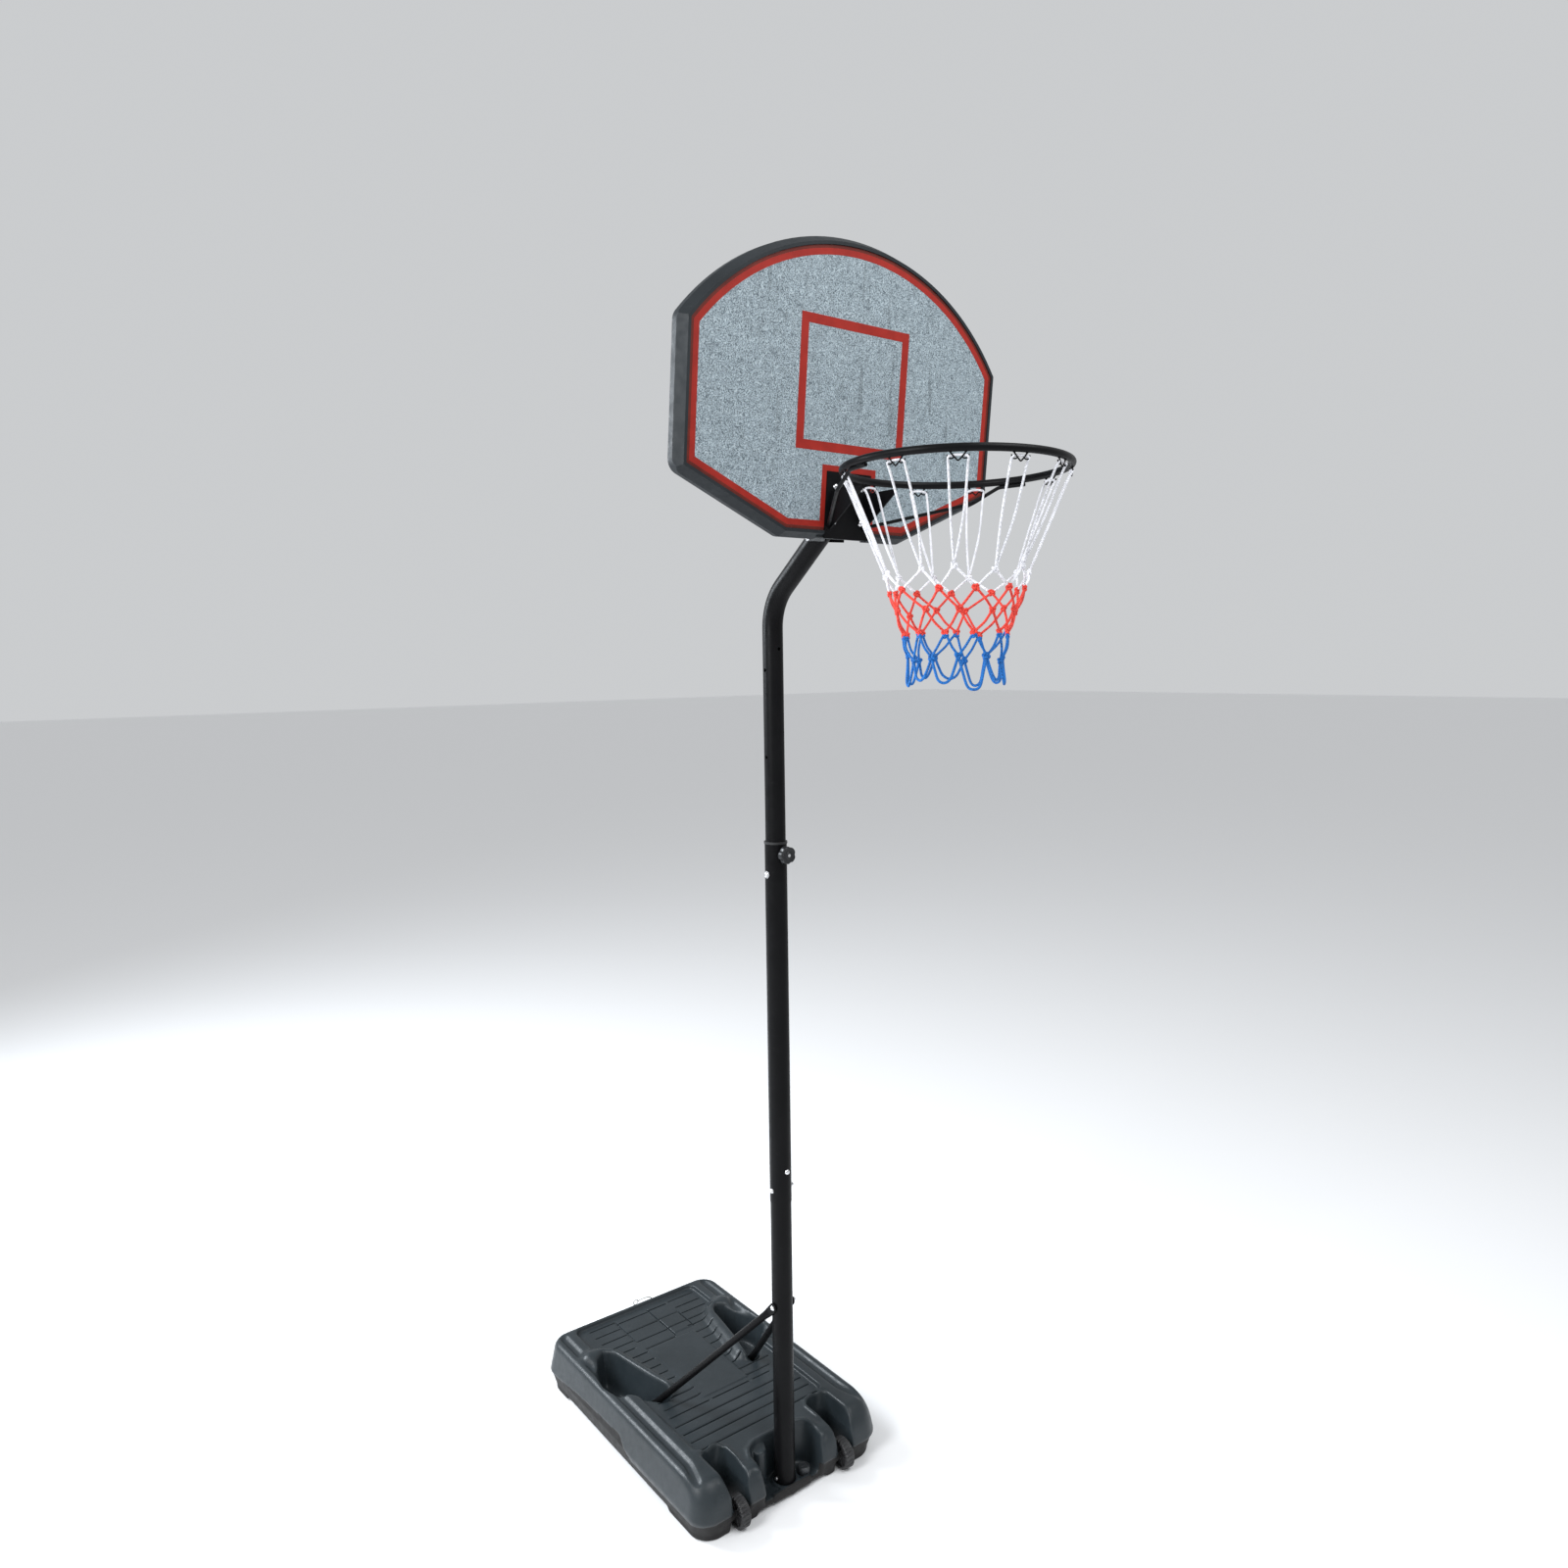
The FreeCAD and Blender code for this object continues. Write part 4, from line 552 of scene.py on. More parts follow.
def tank_field(xs, ys, zs):
    """Distance-like field of the tank, negative in the plastic."""
    x, y, z = xs[:, None, None], ys[None, :, None], zs[None, None, :]
    side = np.abs(x)
    flat_x, flat_y = xs[:, None], ys[None, :]
    flat_side = np.abs(flat_x)
    pull = np.where(z > WAIST, TOP_DRAFT * (z - WAIST) / (TANK_TOP - WAIST),
                    FOOT_DRAFT * (WAIST - z) / WAIST)
    f = rounded_rect(x, y, 0, TANK_MIDDLE, TANK_HALF_WIDTH - pull, TANK_HALF_LENGTH - pull,
                     TANK_CORNER)
    # the wall steps in below the parting line, and the top's edge is rounder at the front
    line = np.interp(ys, *zip(*PARTING))[None, :, None]
    f = f + 2.4 * (1 - smooth_step((z - line + 3) / 5)) * smooth_step((z - 8) / 6)
    blend = (20 + 50 * smooth_step((60 - ys) / 110))[None, :, None]
    f = smooth_max(f, z - TANK_TOP, blend)
    # feet: the front one runs the full width, the rear ones stand at the corners
    inner = smooth_step((120 - flat_side) / 12) * smooth_step((90 - flat_y) / 12)
    front = smooth_step((131 - flat_y) / 12) * (1 - inner)
    rear = smooth_step((flat_y - 694) / 12) * smooth_step((flat_side - 184) / 12)
    under = 10 * (1 - np.maximum(front, rear))[:, :, None]
    f = smooth_max(f, under - z, 5)
    # deck between the ridges, with its raised centre panel and a patch raised further
    panel = rounded_rect(flat_x, flat_y, 8, 434, 80, 146, 6)
    patch = np.maximum(np.abs(flat_x - 67) - 34, np.abs(flat_y - 650) - 46)
    level = DECK + 2.2 * smooth_step((1.5 - panel) / 3) + 2.0 * smooth_step((1.5 - patch) / 3)
    level = level[:, :, None]
    wide = rounded_rect(flat_x, flat_y, 0, 446, 214, 346, 26)
    narrow = rounded_rect(flat_x, flat_y, 0, 20, 146, 110, 20)
    plan = smooth_min(wide, narrow, 20)[:, :, None]
    f = smooth_max(f, -smooth_max(plan, level - z, 9), 9)
    # the groove that parts each double ridge
    bend = 256 + 24 * smooth_step((90 - flat_y) / 120)
    along = flat_y - np.clip(flat_y, -26, 776)
    gap = np.sqrt((flat_side - bend) ** 2 + along ** 2)[:, :, None]
    f = smooth_max(f, -(np.hypot(gap, z - TANK_TOP - 5) - 14), 6)
    # hoods over the inner side of the strut pockets
    crest = path_distance(flat_side, flat_y, HOOD)[:, :, None]
    f = smooth_min(f, np.hypot(crest, z - 124) - 35, 14)
    # raised rims round the mouths of the slots and the bay
    fall = (132 - 16 * smooth_step((30 - flat_y) / 60))[:, :, None]
    rim = path_distance(flat_side, flat_y, SLOT_RIM)[:, :, None]
    f = smooth_min(f, np.hypot(rim, z - fall) - 9, 9)
    rim = path_distance(flat_x, flat_y, BAY_RIM)[:, :, None]
    f = smooth_min(f, np.hypot(rim, z - fall) - 8, 9)
    # strut pockets with their throats
    plan = polygon_distance(flat_side, flat_y, POCKET)[:, :, None] - 3
    floor = (54 + 0.72 * np.maximum(402 - ys, 0))[None, :, None]
    hollow = smooth_max(plan + 0.20 * (TANK_TOP - z), floor - z, 18)
    f = smooth_max(f, -hollow, 11)
    boss = np.hypot(y - STRUT_FOOT[1], z - STRUT_FOOT[2]) - 13
    f = smooth_min(f, np.maximum(boss, np.abs(side - 150) - 17.4), 3)
    # wheel slots, wider at the mouth
    flare = 0.25 * np.maximum(z - 96, 0)
    off_wheel = np.abs(side - WHEEL_X)
    slot = smooth_max(off_wheel - 25.5 - flare, y - 88 - flare * 0.6, 26)
    f = smooth_max(f, -slot, 9)
    bearing = np.hypot(y - WHEEL_Y, z - WHEEL_Z) - 12
    f = smooth_min(f, np.maximum(bearing, np.abs(off_wheel - 24) - 10.5), 3)
    # bay round the pole, with the half-round column, the tray and the pole's collar
    tray = 25
    bay = past_sides(side - (47 + 0.10 * (z - tray)), y + 4 - 0.05 * (z - tray)) - 42
    f = smooth_max(f, -smooth_max(bay, tray - z, 10), 13)
    lip = np.maximum(side - 90, y + 38)
    f = smooth_max(f, -lip, 7)
    column = np.maximum(np.hypot(x + 60, y - 34) - 20, z - 122)
    f = smooth_min(f, np.maximum(column, 20 - z), 9)
    ledge = rounded_rect(x, y, 0, -30, 62, 7, 5)
    f = smooth_min(f, np.maximum(ledge, np.abs(z - 20) - 11), 4)
    reach = np.hypot(x, y)
    f = smooth_min(f, np.maximum(reach - 37, np.abs(z - 20) - 13), 4)
    f = np.maximum(f, -np.maximum(reach - 28.2, 14.8 - z))
    # seat of the rear plug
    plug = np.hypot(x - 30, z - 104)
    f = smooth_min(f, np.maximum(plug - 18, np.abs(y - 808) - 10.5), 2)
    f = np.maximum(f, -np.maximum(plug - 13.4, 796 - y))
    # moulded lines of the deck
    for x0, x1, mid in GROOVES:
        part = lines_near(ys, mid)
        cut = np.maximum(np.abs(y[:, part] - mid) - GROOVE_HALF, np.maximum(x0 - x, x - x1))
        cut = np.maximum(cut, level[:, part] - GROOVE_DEPTH - z)
        f[:, part] = np.maximum(f[:, part], -cut)
    for mid, y0, y1 in JOGS:
        part = lines_near(xs, mid)
        cut = np.maximum(np.abs(x[part] - mid) - GROOVE_HALF, np.maximum(y0 - y, y - y1))
        cut = np.maximum(cut, level[part] - GROOVE_DEPTH - z)
        f[part] = np.maximum(f[part], -cut)
    return f


def surface_net(field, axes):
    """A quad mesh of the field's zero surface on a grid with uneven lines."""
    inside = field < 0
    cuts = [slice(0, -1), slice(1, None)]
    count = sum(inside[cuts[i], cuts[j], cuts[k]].astype(np.int8)
                for i, j, k in product((0, 1), repeat=3))
    mixed = (count > 0) & (count < 8)
    cells = np.argwhere(mixed)
    index = np.full(mixed.shape, -1)
    index[mixed] = np.arange(len(cells))
    total, weight = np.zeros((len(cells), 3)), np.zeros(len(cells))
    for axis in range(3):
        others = [d for d in range(3) if d != axis]
        for a, b in product((0, 1), repeat=2):
            start = cells.copy()
            start[:, others[0]] += a
            start[:, others[1]] += b
            end = start.copy()
            end[:, axis] += 1
            f0, f1 = field[tuple(start.T)], field[tuple(end.T)]
            cross = (f0 < 0) != (f1 < 0)
            spot = np.stack([axes[d][start[:, d]] for d in range(3)], 1)
            step = axes[axis][end[:, axis]] - axes[axis][start[:, axis]]
            share = np.where(cross, f0 / np.where(cross, f0 - f1, 1), 0)
            spot[:, axis] += share * step
            total[cross] += spot[cross]
            weight[cross] += 1
    quads = []
    for axis in range(3):
        u, v = (axis + 1) % 3, (axis + 2) % 3
        low, high = [slice(None)] * 3, [slice(None)] * 3
        low[axis], high[axis] = cuts
        first, second = inside[tuple(low)], inside[tuple(high)]
        edges = np.argwhere(first != second)
        fits = ((edges[:, u] > 0) & (edges[:, v] > 0) & (edges[:, u] < inside.shape[u] - 1)
                & (edges[:, v] < inside.shape[v] - 1))
        edges = edges[fits]
        corners = []
        for du, dv in ((-1, -1), (0, -1), (0, 0), (-1, 0)):
            cell = edges.copy()
            cell[:, u] += du
            cell[:, v] += dv
            corners.append(index[tuple(cell.T)])
        quad = np.stack(corners, 1)
        outward = first[tuple(edges.T)]
        quad[~outward] = quad[~outward][:, ::-1]
        quads.append(quad)
    return total / weight[:, None], np.concatenate(quads)


def grid_lines(start, stop, grooves):
    """Grid lines a fixed step apart, with extra ones at the edges of each groove."""
    edges = np.array([-3.4, -GROOVE_HALF, 0, GROOVE_HALF, 3.4])
    return merge_lines(np.concatenate([np.arange(start, stop, 4.0),
                                       *[mid + edges for mid in grooves]]))


def make_tank():
    """The tank's skin from its field, with the lower wall in a rougher copy of its plastic whose
    darker colour is painted shade.
    """
    xs = grid_lines(-312, 313, [mid for mid, _, _ in JOGS])
    ys = grid_lines(-58, 832, [mid for _, _, mid in GROOVES])
    zs = merge_lines(np.concatenate([np.arange(-6, 124, 4.0), np.arange(124, 164, 2.0)]))
    points, quads = surface_net(tank_field(xs, ys, zs), (xs, ys, zs))
    middle = points[quads].mean(1)
    line = np.interp(middle[:, 1], *zip(*PARTING))
    wall = rounded_rect(middle[:, 0], middle[:, 1], 0, TANK_MIDDLE, TANK_HALF_WIDTH - 7,
                        TANK_HALF_LENGTH - 7, TANK_CORNER)
    # faces of the wall below the parting line get the darker copy, painted shade
    low = (middle[:, 2] < line) & (np.abs(wall) < 12)
    add_piece("tank_moulding", points, quads.tolist(), "base", "tank_plastic",
              ["tank", "tank_low"], ["tank_shell"], low.astype(int), 50)



# ---------------------------------------------------------------- board


BOARD_LEAN = math.radians(6)
BOARD_AT = Vector((0, -320, 2820))
FACE_HALF_WIDTH, FACE_ARC, FACE_DIAGONAL = 442, 562, math.radians(23.5)
FACE_SIDE_TOP, FACE_SIDE_BOTTOM, FACE_BOTTOM = 85, -202, -318
PLATE_HALF, PLATE_TOP = 66.5, -185.5  # the gap in the print round the rim's plate


def on_board(x, y, z):
    """A point given in the board's own leaning frame."""
    return (x, BOARD_AT.y + y * math.cos(BOARD_LEAN) - z * math.sin(BOARD_LEAN),
            BOARD_AT.z + y * math.sin(BOARD_LEAN) + z * math.cos(BOARD_LEAN))


def board_outline(offset, arc_steps=72):
    """The printed face's outline in its own plane, offset outward, from the bottom left."""
    half, radius = FACE_HALF_WIDTH + offset, FACE_ARC + offset
    centre = FACE_SIDE_TOP - math.sqrt(FACE_ARC ** 2 - FACE_HALF_WIDTH ** 2)
    top = centre + math.sqrt(radius * radius - half * half)
    side = FACE_SIDE_BOTTOM - offset * math.tan((math.pi / 2 - FACE_DIAGONAL) / 2)
    drop = FACE_SIDE_BOTTOM - FACE_BOTTOM
    foot_x = (FACE_HALF_WIDTH - drop / math.tan(FACE_DIAGONAL)
              + offset * math.tan(FACE_DIAGONAL / 2))
    foot_z = FACE_BOTTOM - offset
    spots = [(-foot_x, foot_z), (foot_x, foot_z), (half, side), (half, top)]
    start = math.asin(half / radius)
    for n in range(1, arc_steps):
        turn = start - 2 * start * n / arc_steps
        spots.append((radius * math.sin(turn), centre + radius * math.cos(turn)))
    spots += [(-half, top), (-half, side)]
    return spots


def strip(outer, inner, low, high, closed=False):
    """A thin raised strip between two lines of equal count, with ends unless it is closed."""
    count = len(outer)
    points = []
    for outline, y in ((outer, low), (outer, high), (inner, high), (inner, low)):
        points += [on_board(x, y, z) for x, z in outline]
    faces = []
    for n in range(3):
        a, b = n * count, (n + 1) * count
        for i in range(count if closed else count - 1):
            j = (i + 1) % count
            faces.append((a + i, b + i, b + j, a + j))
    if not closed:
        last = count - 1
        faces += [(0, 3 * count, 2 * count, count),
                  (last, count + last, 2 * count + last, 3 * count + last)]
    return points, faces


def slab(outline, low, high):
    """A thin plate without its back, in the board's frame."""
    count = len(outline)
    points = [on_board(x, low, z) for x, z in outline] + [on_board(x, high, z) for x, z in outline]
    faces = [tuple(range(count, 2 * count))]
    faces += [(i, i + count, (i + 1) % count + count, (i + 1) % count) for i in range(count)]
    return points, faces


def cut_at_plate(outline):
    """The outline opened where the rim plate crosses its bottom edge, from right to left."""
    return ([(PLATE_HALF, outline[1][1])] + outline[1:]
            + [outline[0], (-PLATE_HALF, outline[0][1])])


def border(outer, inner, high):
    """A raised line that follows the board's edge between two offsets."""
    return strip(cut_at_plate(board_outline(outer)), cut_at_plate(board_outline(inner)), 0.2, high)


def rectangle(half_width, half_height):
    return [(-half_width, -half_height), (half_width, -half_height),
            (half_width, half_height), (-half_width, half_height)]


def arch(half_width, top, foot=-296.8):
    """Three sides of a rectangle, open at the foot."""
    return [(half_width, foot), (half_width, top), (-half_width, top), (-half_width, foot)]


def make_face():
    """Printed face: granite field, red border with a painted shadow of the frame's lip, target and
    bracket surround.
    """
    edge = cut_at_plate(board_outline(-0.4))
    field = edge + [(-PLATE_HALF, PLATE_TOP), (PLATE_HALF, PLATE_TOP)]
    points, faces = slab(field, 1.0, 0.1)
    back = [tuple(range(len(field)))[::-1]]
    add_piece("face_field", points, faces + back, "mast", "face_print", ["granite"],
              ["backboard_face"], sharp=30)
    target = strip(rectangle(159, 144), rectangle(138.3, 123.3), 0.2, -0.25, closed=True)
    surround = strip(arch(80, -172.5), arch(66.6, -185.6), 0.2, -0.3)
    add_piece("face_red_lines", *join([border(-7.5, -21, -0.25), target, surround]), "mast",
              "face_print", ["red"], sharp=30)
    # painted shadow of the frame's lip: a darker red band along the outer edge of the red border
    add_piece("face_lip_shadow", *border(-0.6, -7.4, -0.2), "mast", "face_print", ["dark_red"],
              sharp=30)


# ---------------------------------------------------------------- rim hooks and net


RIM = Vector((0, -635, 2600))
RIM_RADIUS = 233.0
HOOKS = (33, 65, 97, 124, 150, 195, 225, 255, 285, 315, 345)
# each level of knots: pull towards even spacing, half a pitch on, radius, drop, unevenness
NET_LEVELS = ((0.15, False, 149, 216, 4.5), (0.35, True, 137, 251, 3.5),
              (0.55, False, 124, 293, 5), (0.75, True, 110, 338, 5.5),
              (0.9, False, 101, 388, 6.5))
NET_LENGTH = 443
WHITE_CORD, LOOP_CORD = 2.5, 2.9


def on_rim(degrees, radius, drop, aside=0.0):
    """A point by bearing about the rim's axis, with a sideways shift along the tangent."""
    turn = math.radians(degrees)
    out = Vector((math.cos(turn), math.sin(turn), 0))
    tangent = Vector((-math.sin(turn), math.cos(turn), 0))
    return RIM + out * radius + tangent * aside + Vector((0, 0, -drop))


def rim_wire(turn, shape, radius):
    """A wire under the ring, through (aside, drop) pairs."""
    path = [on_rim(turn, RIM_RADIUS, drop, aside) for aside, drop in shape]
    return tube_along(smooth_path(path, 5), radius, 10)


def make_hooks():
    """Each hook: a bent V wire with two upturned barbs, and its two weld beads on the ring."""
    parts = []
    for turn in HOOKS:
        wire = [(-15, 7), (-12, 12), (-4, 21), (0, 24), (4, 21), (12, 12), (15, 7)]
        parts.append(rim_wire(turn, wire, 1.6))
        for hand in (-1, 1):
            barb = [(hand * 7, 18), (hand * 12, 20.5), (hand * 18, 19), (hand * 20.5, 13)]
            parts.append(rim_wire(turn, barb, 1.5))
            bead = [on_rim(turn, RIM_RADIUS, 9.5, hand * 13.2),
                    on_rim(turn, RIM_RADIUS, 7.6, hand * 14.2),
                    on_rim(turn, RIM_RADIUS, 6.5, hand * 15.4)]
            parts.append(tube_along(bead, [1.9, 3.0, 2.4], 10))
    add_piece("net_hook_wires", *join(parts), "mast", "black_paint", ["powder"], ["net_hooks"])


def knot(place, out, size, turn):
    """An overhand knot drawn tight: a trefoil of cord."""
    side, other, along = frame_on(out)
    path = []
    for n in range(25):
        t = 2 * math.pi * n / 24
        u = math.sin(t) + 2 * math.sin(2 * t)
        v = math.cos(t) - 2 * math.cos(2 * t)
        w = -math.sin(3 * t)
        a = u * math.cos(turn) - v * math.sin(turn)
        b = u * math.sin(turn) + v * math.cos(turn)
        path.append(place + (side * a + other * b * 0.9 + along * w * 1.1) * size / 3)
    return tube_along(path, LOOP_CORD, 9)


def outward(spot):
    """The level direction from the rim's axis to a point."""
    return Vector((spot.x - RIM.x, spot.y - RIM.y, 0))


def cord_between(start, end, bow, sag=0.0):
    """A cord between two points with a slight bow away from the net's axis."""
    middle = (start + end) / 2
    out = outward(middle).normalized()
    jitter = Vector(RNG.normal(0, 1.0, 3))
    bent = middle + out * bow + Vector((0, 0, -sag)) + jitter
    return tube_along(smooth_path([start, (start + bent) / 2 + out * bow * 0.25, bent,
                                   (end + bent) / 2 + out * bow * 0.25, end], 4), 2.6, 9)


def net_level(share, half_pitch, radius, drop, wobble):
    """Knot points of one level; lower levels drift towards an even spacing."""
    spots = []
    count = len(HOOKS)
    hooks = np.unwrap(np.radians(list(HOOKS) + [HOOKS[0] + 360]))
    for n in range(count):
        even = math.radians(HOOKS[0]) + 2 * math.pi * n / count
        here = hooks[n]
        if half_pitch:
            here = (hooks[n] + hooks[n + 1]) / 2
            even += math.pi / count
        turn = math.degrees(here * (1 - share) + even * share + RNG.normal(0, wobble / radius))
        spots.append(on_rim(turn, radius + RNG.normal(0, wobble * 0.6),
                            drop + RNG.normal(0, wobble * 0.8)))
    return spots


def make_net():
    """Knotted net: white strands from the hooks, then red, then blue with free loops."""
    white, red, blue = [], [], []
    first, second, third, fourth, fifth = [net_level(*level) for level in NET_LEVELS]
    count = len(HOOKS)
    for n, turn in enumerate(HOOKS):
        here = first[n]
        for hand in (-1, 1):
            top = on_rim(turn, RIM_RADIUS - 2, 15, hand * 14)
            shoulder = on_rim(turn, RIM_RADIUS, 18, hand * 18.5)
            below = on_rim(turn, RIM_RADIUS - 9, 34, hand * 18)
            along = below.lerp(here, 0.5) + Vector((RNG.normal(0, 2), RNG.normal(0, 2), 0))
            along += (on_rim(turn, 1, 0, hand * 4) - on_rim(turn, 1, 0, 0))
            strand = smooth_path([top, shoulder, below, along, here], 6)
            white.append(tube_along(strand, WHITE_CORD, 9))
        across = [on_rim(turn, RIM_RADIUS - 2, d, a)
                  for a, d in ((-14, 15), (-6, 13.5), (6, 13.5), (14, 15))]
        white.append(tube_along(smooth_path(across, 4), WHITE_CORD, 9))
        for hand in (-1, 0):
            upper, lower = second[(n + hand) % count], fourth[(n + hand) % count]
            change = here.lerp(upper, 0.86)
            white.append(cord_between(here, change, 0.6))
            red.append(cord_between(change, upper, 0.6))
            red.append(cord_between(upper, third[n], 3))
            red.append(cord_between(third[n], lower, 3, sag=3))
            blue.append(cord_between(lower, fifth[n], 4, sag=4))
        start, end = fifth[n], fifth[(n + 1) % count]
        low = (start + end) / 2
        out = outward(low).normalized()
        low = Vector((low.x, low.y, RIM.z - NET_LENGTH + RNG.normal(0, 5.5))) + out * 6
        side, rise = (end - start) * 0.28, Vector((0, 0, 7))
        loop = [start, start.lerp(low, 0.45) - side * 0.35, low - side * 0.8 + rise, low,
                low + side * 0.8 + rise, end.lerp(low, 0.45) + side * 0.35, end]
        blue.append(tube_along(smooth_path(loop, 5), LOOP_CORD, 9))
    for spots, parts, size in ((first, white, 6), (second, red, 6.5), (third, red, 6.5),
                               (fourth, red, 6), (fifth, blue, 6.5)):
        for spot in spots:
            parts.append(knot(spot, outward(spot), size, RNG.uniform(0, 6)))
    for spot in fourth:
        blue.append(knot(spot + Vector((0, 0, -6)), outward(spot), 5, RNG.uniform(0, 6)))
    for name, parts, mat in (("net_white_cords", white, "white_cord"),
                             ("net_red_cords", red, "red_cord"),
                             ("net_blue_cords", blue, "blue_cord")):
        nodes = ["net"] if mat == "white_cord" else []
        add_piece(name, *join(parts), "mast", "net_cord", [mat], nodes)


# ---------------------------------------------------------------- struts and fasteners


def strut_path(foot, head, slope):
    """Points along a strut, closer together at its two flats."""
    bend, tip = 30, 12
    low_bend, high_bend = foot + slope * bend, head - slope * bend
    path = [(foot - slope * tip).lerp(low_bend, n / 8) for n in range(9)]
    path += [low_bend.lerp(high_bend, n / 40) for n in range(1, 41)]
    path += [high_bend.lerp(head + slope * tip, n / 8) for n in range(1, 9)]
    return path


def make_struts():
    """Tubes with pressed flat ends; the flats lie against the tank and the pole."""
    radius, half_flat, half_wide, count = 9.5, 1.5, 12, 28
    for hand, name in ((-1, "left"), (1, "right")):
        foot = Vector((hand * STRUT_FOOT[0], *STRUT_FOOT[1:]))
        head = Vector((hand * STRUT_HEAD[0], *STRUT_HEAD[1:]))
        slope = Vector((0, head.y - foot.y, head.z - foot.z)).normalized()
        path = strut_path(foot, head, slope)
        length = [0.0]
        for a, b in zip(path, path[1:]):
            length.append(length[-1] + (b - a).length)
        points = []
        for n, spot in enumerate(path):
            near = min(length[n], length[-1] - length[n])
            flat = float(smooth_step((64 - near) / 36))
            thin, wide = radius + (half_flat - radius) * flat, radius + (half_wide - radius) * flat
            tip = math.sqrt(max(0.0, 1 - max(0.0, (11 - near) / 11.2) ** 2))
            ahead, side = heading(path, n), Vector((1, 0, 0))
            side = (side - ahead * side.dot(ahead)).normalized()
            other = ahead.cross(side)
            for i in range(count):
                turn = 2 * math.pi * i / count
                c, v = math.cos(turn), math.sin(turn)
                squared = flat * 0.55
                c = math.copysign(abs(c) ** (1 - squared), c)
                v = math.copysign(abs(v) ** (1 - squared), v)
                points.append(spot + side * c * thin + other * v * wide * max(tip, 0.12))
        add_piece(f"{name}_strut_tube", points, ring_faces(len(path), count), "base",
                  "black_paint", ["powder"], [f"{name}_strut"])


def shank(start, end):
    """The plain shank of a bolt, a little thinner than its thread."""
    start, end = Vector(start), Vector(end)
    return tube_along([start, start.lerp(end, 0.5), end], 3.95, 20)


def add_steel(name, body, parts, node):
    """One bright steel piece in place of a CAD node."""
    add_piece(name, *join(parts), body, "bright_steel", ["bright"], [node])


def make_fasteners():
    """Domed bolt heads and chamfered nuts in place of the plain ones, seated at each reach."""
    right = Vector((1, 0, 0))
    reach, length = 28.7, 68
    heads, nuts = [], []
    for height, axis in ((886, Vector((0, 1, 0))), (833, right)):
        centre = Vector((0, 0, height))
        seat = centre - axis * reach
        heads += [bolt_head(seat, -axis), shank(seat, seat + axis * length)]
        nuts.append(nut(centre + axis * reach, axis))
    add_steel("joint_bolt_heads", "base", heads, "pole_joint_bolts")
    add_steel("joint_nuts", "base", nuts, "pole_joint_nuts")

    reach, end, height = 32.9, 41, STRUT_HEAD[2]
    seat = Vector((-reach, 0, height))
    add_steel("strut_head_bolt_piece", "base",
              [bolt_head(seat, -right), shank(seat, (end, 0, height))], "strut_head_bolt")
    add_steel("strut_head_nut_piece", "base", [nut(Vector((reach, 0, height)), right)],
              "strut_head_nut")
    reach, length, parts = 171.8, 26, []
    for hand in (-1, 1):
        seat = Vector((hand * reach, *STRUT_FOOT[1:]))
        parts += [bolt_head(seat, right * hand), shank(seat, seat - right * hand * length)]
    add_steel("strut_foot_bolt_pieces", "base", parts, "strut_foot_bolts")
    reach, length, height = 30.5, 4.2, 1667
    seat = Vector((-reach, 0, height))
    add_steel("height_bolt_piece", "base",
              [bolt_head(seat, -right), shank(seat, seat + right * length)], "height_bolt")

    lean = Vector(on_board(0, 1, 0)) - Vector(on_board(0, 0, 0))
    front, back, thread = -2.3, 42.4, 7
    heads, nuts = [], []
    for x, z in product((-40, 40), (-219, -297)):
        seat, far = Vector(on_board(x, front, z)), Vector(on_board(x, back, z))
        heads += [bolt_head(seat, -lean), shank(seat, far + lean * thread)]
        nuts.append(nut(far, lean))
    add_steel("rim_bolt_heads", "mast", heads, "rim_bolts")
    add_steel("rim_nut_pieces", "mast", nuts, "rim_nuts")

    bend, bend_height, arm = math.radians(52), 2355, 283
    reach, length = 29.5, 66
    heads, nuts = [], []
    for from_end in (21, 51):
        run = arm - from_end
        y, z = -run * math.sin(bend), bend_height + run * math.cos(bend)
        seat = Vector((-reach, y, z))
        heads += [bolt_head(seat, -right), shank(seat, seat + right * length)]
        nuts.append(nut(Vector((reach, y, z)), right))
    add_steel("arm_bolt_heads", "mast", heads, "arm_bolts")
    add_steel("arm_nut_pieces", "mast", nuts, "arm_nuts")


def make_knob():
    """Five-lobed knob with a bevelled rim, a raised hub and a dished face."""
    seat, height, depth = -37.5, 1720, 18

    def lobes(turn, step):
        return 1 - 0.115 * (0.5 + 0.5 * math.cos(5 * turn)) ** 3

    profile = [(0, 12), (0.2, 20.5), (1.2, 22.2), (3, 23), (depth - 4.5, 23),
               (depth - 1.8, 22.3), (depth - 0.3, 20.4), (depth, 18.6), (depth - 0.9, 17.3),
               (depth - 1.4, 12), (depth - 1.2, 8.4), (depth + 0.1, 7.6), (depth + 0.5, 6.9),
               (depth + 0.5, 4.1)]
    add_piece("knob_grip", *lathe(profile, (0, seat, height), (0, -1, 0), lobes, 120),
              "knob_body", "knob_plastic", ["knob"], ["height_knob"])


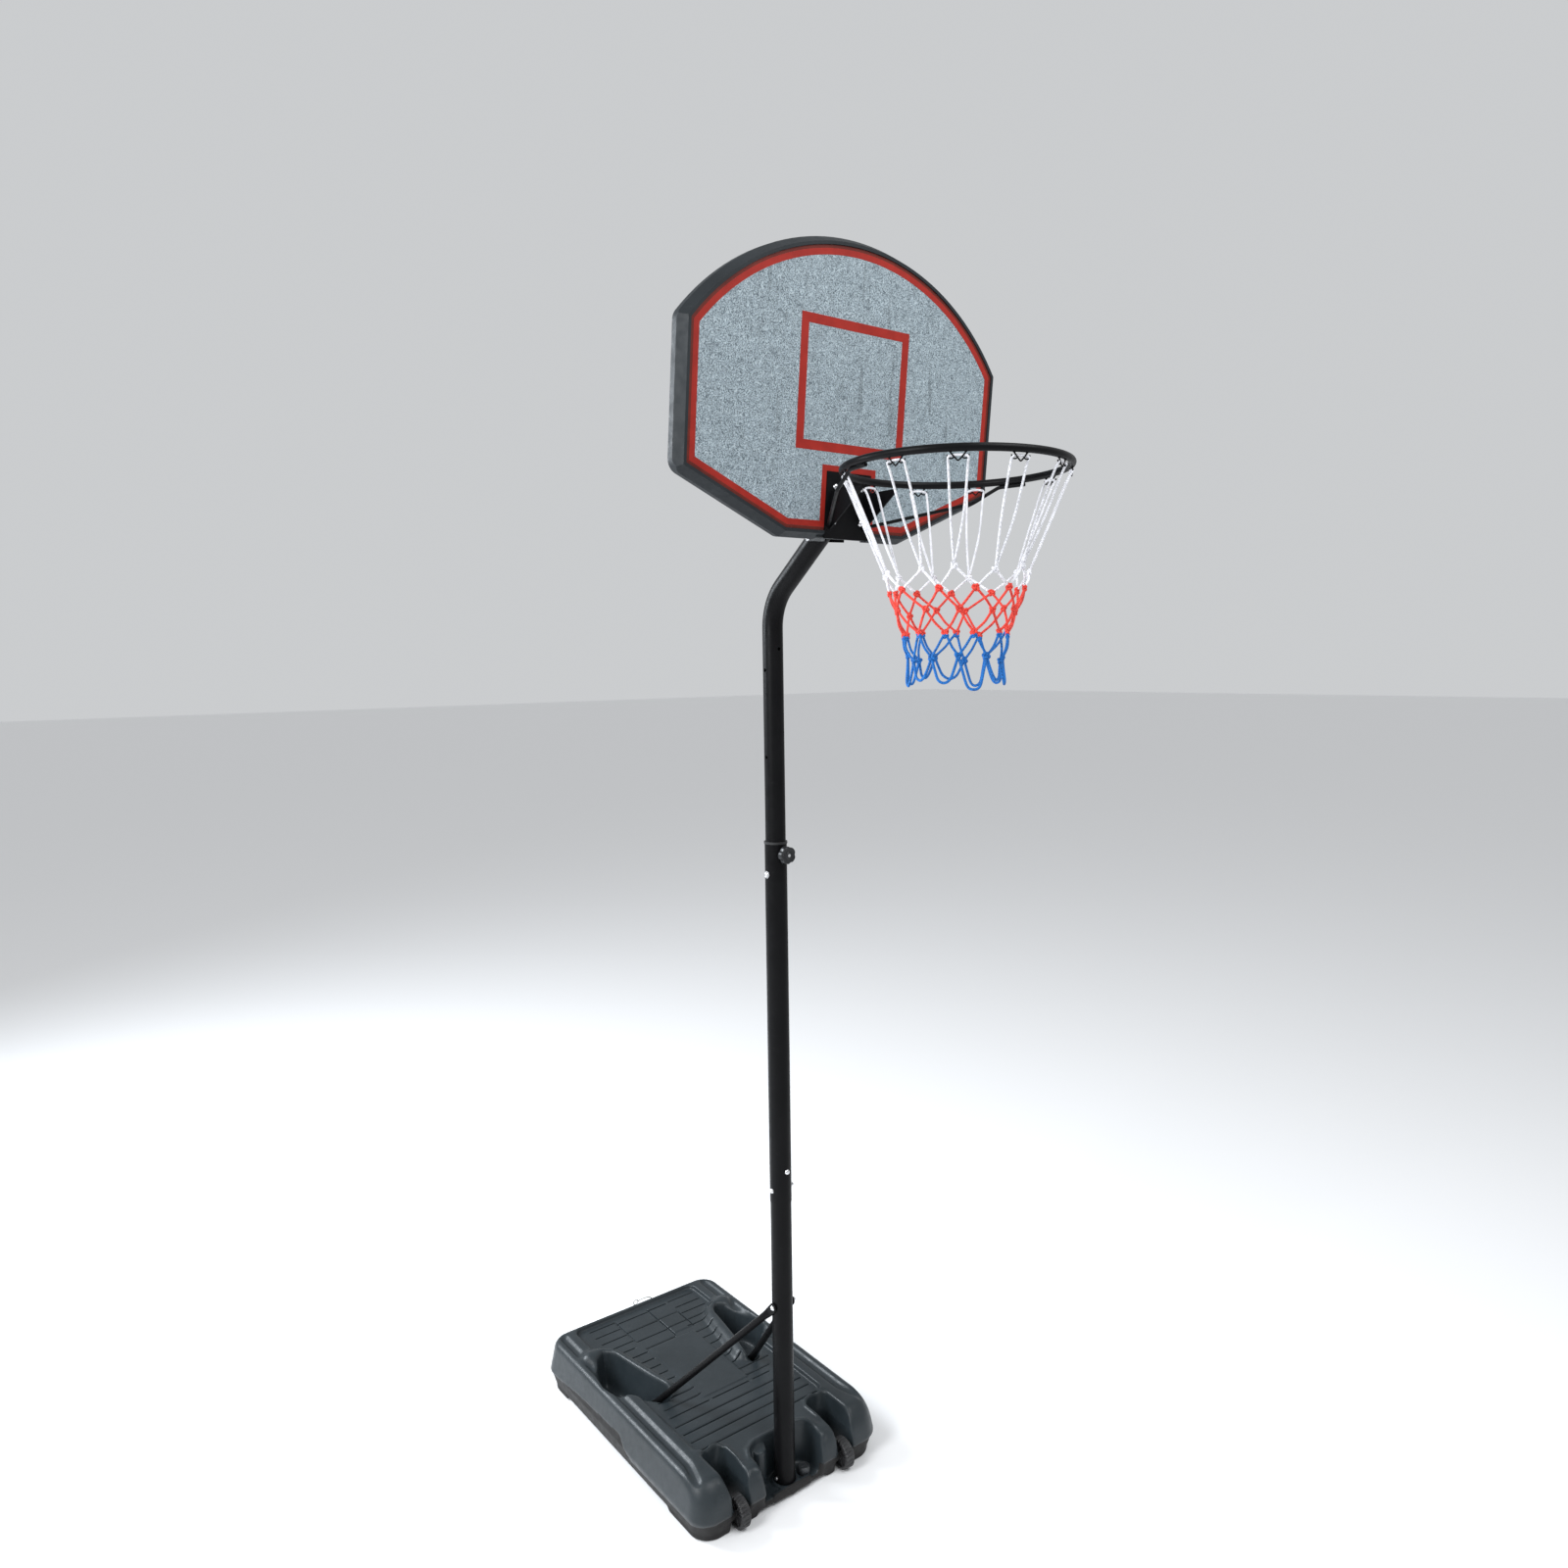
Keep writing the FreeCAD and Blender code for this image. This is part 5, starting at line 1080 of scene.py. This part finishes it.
def make_cap():
    """Filler cap: fluted skirt, rounded shoulder and a shallow dish with a grip bar."""
    def flutes(turn, step):
        return 1 - (0.035 * (0.5 + 0.5 * math.cos(18 * turn)) if 1 < step < 6 else 0)

    place = (58, -8, 27.5)
    profile = [(-10, 8), (0, 8), (0, 16.4), (0.8, 17), (10, 17), (14, 16.6), (16.2, 15.4),
               (17.3, 13.6), (17.0, 12.4), (15.6, 11.6), (15.4, 4)]
    skirt = lathe(profile, place, (0, 0, 1), flutes, 144)
    bar = []
    for rise, grow in ((15.2, 0), (17.0, 0), (17.4, -0.5)):
        bar += [(place[0] + x * (10.5 + grow), place[1] + y * (2.2 + grow), place[2] + rise)
                for x, y in ((-1, -1), (1, -1), (1, 1), (-1, 1))]
    add_piece("cap_moulding", *join([skirt, (bar, ring_faces(3, 4))]), "cap_body",
              "cap_plastic", ["cap"], ["filler_cap"], sharp=40)


def make_leash():
    """Leash of the rear plug: a moulded ring and a strap that bends down to the plug."""
    ring = [(21 - 8 * math.cos(n * math.pi / 12), 822, 138 + 8 * math.sin(n * math.pi / 12))
            for n in range(25)]
    strap = smooth_path([(29, 822, 138), (44, 821.5, 141), (66, 821.5, 139), (80, 822, 130),
                         (78, 823, 114), (58, 823, 106), (48, 823, 104)], 7)
    add_piece("plug_leash_strap", *join([tube_along(ring, 1.7, 10), tube_along(strap, 1.7, 10)]),
              "base", "seal_rubber", ["leash"], ["plug_leash"])


def tread(turn, step):
    """Slanting notches across the steps of the wheel's profile that touch the floor."""
    if not 3 <= step <= 8:
        return 1
    slant = turn * 24 + (step - 5.5) * 0.9
    return 1 - 0.055 * (1 if math.sin(slant) > 0.25 else 0)


def wheel_spoke(place, turn, face):
    """One rib from the hub to the rim, on the outer or the inner side of the web."""
    out = Vector((0, math.cos(turn), math.sin(turn)))
    across = Vector((0, -math.sin(turn), math.cos(turn)))
    hub, rim = 10.6, 31.2
    rings = []
    for depth, half in ((6.5, 2.2), (11.0, 1.8), (11.5, 1.2)):
        for a, r in ((-half, hub), (half, hub), (half, rim), (-half, rim)):
            rings.append(Vector(place) + Vector((face * depth, 0, 0)) + across * a + out * r)
    return rings, ring_faces(3, 4)


def make_wheels():
    """Treaded wheels: ribbed rim, dished web with spokes, and a hub."""
    profile = [(-14, 5.4), (-14, 10.8), (-8, 11.4), (-8.5, 30.5), (-14, 31.6),
               (-13.4, 37.4), (-10.8, 40), (-4, 40), (4, 40), (10.8, 40), (13.4, 37.4),
               (14, 31.6), (8.5, 30.5), (8, 11.4), (14, 10.8), (14, 5.4)]
    for hand, name in ((-1, "left"), (1, "right")):
        place = (hand * WHEEL_X, WHEEL_Y, WHEEL_Z)
        spokes = [wheel_spoke(place, math.pi * n / 3, face) for n in range(6) for face in (-1, 1)]
        rim = lathe(profile, place, (1, 0, 0), tread, 192)
        add_piece(f"{name}_wheel_tread", *join([rim] + spokes), f"{name}_wheel_body",
                  "wheel_plastic", ["wheel"], [f"{name}_wheel"], sharp=35)


# ---------------------------------------------------------------- assembly


make_camera()
make_stage()
MATS = make_materials()
dress_nodes()
make_tank()
make_face()
make_hooks()
make_net()
make_struts()
make_fasteners()
make_knob()
make_cap()
make_leash()
make_wheels()
